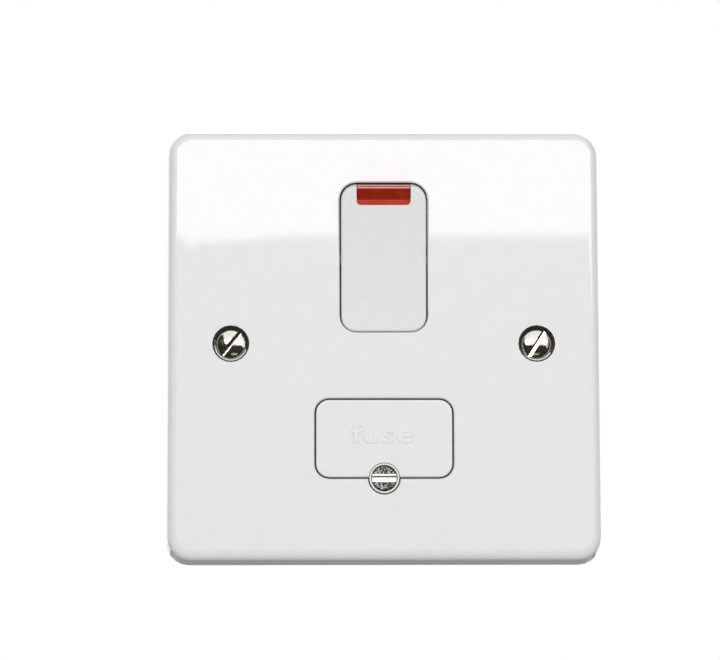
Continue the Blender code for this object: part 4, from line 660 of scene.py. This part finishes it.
def floorPaper():
    # Matt paper, which the camera sees as white except in the object's shadow, and not at all from beneath.
    # A dark cloth lies on it ahead of the object, and thinner behind it, which only mirrors see.
    material, tree = startMaterial("floorPaper")
    rays = addNode(tree, "ShaderNodeLightPath")
    paper = addNode(tree, "ShaderNodeBsdfDiffuse", {"Color": linear(stageLook["floorHex"])})
    glow = addNode(tree, "ShaderNodeEmission", {"Color": (1, 1, 1, 1), "Strength": stageLook["paperGlow"]})
    lit = addNode(tree, "ShaderNodeAddShader", links={0: paper.outputs[0], 1: glow.outputs[0]})
    pale = addNode(tree, "ShaderNodeMixShader", links={
        0: seenRays(tree, rays), 1: paper.outputs[0], 2: lit.outputs[0]})
    cloth = addNode(tree, "ShaderNodeBsdfDiffuse", {"Color": linear(stageLook["clothHex"])})
    where = addNode(tree, "ShaderNodeTexCoord").outputs["Object"]
    depth = addNode(tree, "ShaderNodeSeparateXYZ", links={0: where}).outputs["Y"]
    edge = {
        "From Min": stageLook["clothEdge"] + stageLook["clothFade"], "From Max": stageLook["clothEdge"],
        "To Min": stageLook["clothBeyond"]}
    covered = addNode(tree, "ShaderNodeMapRange", edge, {"Value": depth}).outputs[0]
    hidden = addNode(tree, "ShaderNodeMath", links={
        0: covered, 1: rays.outputs["Is Glossy Ray"]}, operation="MULTIPLY")
    top = addNode(tree, "ShaderNodeMixShader", links={
        0: hidden.outputs[0], 1: pale.outputs[0], 2: cloth.outputs[0]})
    clear = addNode(tree, "ShaderNodeBsdfTransparent")
    beneath = addNode(tree, "ShaderNodeNewGeometry").outputs["Backfacing"]
    both = addNode(tree, "ShaderNodeMixShader", links={0: beneath, 1: top.outputs[0], 2: clear.outputs[0]})
    addNode(tree, "ShaderNodeOutputMaterial", links={"Surface": both.outputs[0]})
    return material


def matt(name, hexCode):
    material, tree = startMaterial(name)
    sheet = addNode(tree, "ShaderNodeBsdfDiffuse", {"Color": linear(hexCode)})
    addNode(tree, "ShaderNodeOutputMaterial", links={"Surface": sheet.outputs[0]})
    return material


level = stageLook["floorLevel"]
front = stageLook["floorFront"]
span = stageLook["floorSpan"]
stageMesh("floor", [(-span, front, level), (span, front, level), (span, span, level), (-span, span, level)],
          floorPaper())

# Felt flags and a slip of card that only mirrors see, for the dark and light shapes in the screw heads
felt = matt("blackFelt", stageLook["clothHex"])
card = matt("whiteCard", "F0F0EE")
flags = {
    "flagAhead": [(-1.2, -1.3, level), (1.2, -1.3, level), (1.2, -1.3, 0.034), (-1.2, -1.3, 0.034)],
    "flagLeft": [(-0.3, -0.15, level), (-0.0763, -0.15, level), (-0.0763, -0.15, 0.0),
                 (-0.139, -0.15, 0.155), (-0.184, -0.15, 0.2), (-0.25, -0.15, 0.143), (-0.3, -0.15, 0.14)],
    "flagLeftSide": [(-0.3, -0.15, level), (-0.3, -0.15, 0.14), (-0.34, 0.1, 0.14), (-0.34, 0.1, level)],
    "flagRight": [(0.18, -0.15, level), (0.34, -0.15, level), (0.34, -0.15, 0.5), (0.18, -0.15, 0.02)],
    "flagRightSide": [(0.34, -0.15, level), (0.38, 0.1, level), (0.38, 0.1, 0.5), (0.34, -0.15, 0.5)],
    "cardSlip": [(-0.03, -0.266, level + 0.002), (0.09, -0.266, level + 0.002),
                 (0.09, -0.228, level + 0.002), (-0.03, -0.228, level + 0.002)],
}
for name, corners in flags.items():
    flag = stageMesh(name, corners, card if name == "cardSlip" else felt)
    for kind in ("camera", "diffuse", "shadow", "transmission"):
        setattr(flag, "visible_" + kind, False)


def areaLamp(name, width, height, glow, place):
    # Glow is in watts from each square metre
    lamp = bpy.data.lights.new(name, "AREA")
    lamp.shape = "RECTANGLE"
    lamp.size = width
    lamp.size_y = height
    lamp.energy = glow * width * height
    item = bpy.data.objects.new(name, lamp)
    bpy.context.scene.collection.objects.link(item)
    item.matrix_world = place
    item.visible_camera = False


# The large lamp leans back a little, and its lower edge draws the line across the plate
softbox = {"low": 0.2202, "high": 0.52, "ahead": 1.2, "lean": 0.15, "width": 2.0, "glow": 13.88}
low = Vector((0, -softbox["ahead"], softbox["low"]))
high = Vector((0, softbox["lean"] - softbox["ahead"], softbox["high"]))
height = (high - low).length
up = (high - low).normalized()
outward = Vector((1, 0, 0)).cross(up).normalized()
areaLamp(
    "softbox", softbox["width"], height, softbox["glow"], Matrix.Translation((low + high) / 2) @ Matrix((
        (1, up.x, outward.x, 0), (0, up.y, outward.y, 0), (0, up.z, outward.z, 0), (0, 0, 0, 1))))

rearSoftbox = {"place": (0.35, 1.1, 0.75), "side": 0.9, "glow": 3.2 * math.pi}
place = Vector(rearSoftbox["place"])
areaLamp(
    "rearSoftbox", rearSoftbox["side"], rearSoftbox["side"], rearSoftbox["glow"],
    Matrix.Translation(place) @ place.to_track_quat("Z", "Y").to_matrix().to_4x4())


def studioAir():
    # The background is white, and the light that it gives is lower
    world = bpy.data.worlds.new("studioAir")
    world.use_nodes = True
    tree = world.node_tree
    tree.nodes.clear()
    seen = seenRays(tree, addNode(tree, "ShaderNodeLightPath"))
    fill = addNode(tree, "ShaderNodeBackground", {"Color": (1, 1, 1, 1), "Strength": stageLook["worldFill"]})
    white = addNode(tree, "ShaderNodeBackground", {"Color": (1, 1, 1, 1), "Strength": 1.0})
    mix = addNode(tree, "ShaderNodeMixShader", links={0: seen, 1: fill.outputs[0], 2: white.outputs[0]})
    addNode(tree, "ShaderNodeOutputWorld", links={"Surface": mix.outputs[0]})
    return world


bpy.context.scene.world = studioAir()
bpy.context.scene.view_settings.view_transform = "Standard"

# Camera where the photograph was taken from: metres, degrees and, for the lens, millimetres
shot = {
    "aim": (-0.00456, 0, 0.00395), "distance": 0.7, "lookUp": 7.93, "azimuth": 0.91, "roll": -0.15,
    "lens": 175.3, "sensor": 36,
}


def photoCamera():
    turn, rise, roll = (math.radians(shot[k]) for k in ("azimuth", "lookUp", "roll"))
    ahead = Vector((math.sin(turn) * math.cos(rise), math.cos(turn) * math.cos(rise), math.sin(rise)))
    side = ahead.cross(Vector((0, 0, 1))).normalized()
    top = side.cross(ahead)
    right = side * math.cos(roll) + top * math.sin(roll)
    upward = top * math.cos(roll) - side * math.sin(roll)
    place = Vector(shot["aim"]) - ahead * shot["distance"]
    data = bpy.data.cameras.new("photoCamera")
    data.sensor_width = shot["sensor"]
    data.lens = shot["lens"]
    data.clip_start = 0.01
    camera = bpy.data.objects.new("photoCamera", data)
    bpy.context.scene.collection.objects.link(camera)
    camera.matrix_world = Matrix((
        (right.x, upward.x, -ahead.x, place.x), (right.y, upward.y, -ahead.y, place.y),
        (right.z, upward.z, -ahead.z, place.z), (0, 0, 0, 1)))
    bpy.context.scene.camera = camera


photoCamera()
print("stage 7: stage set")
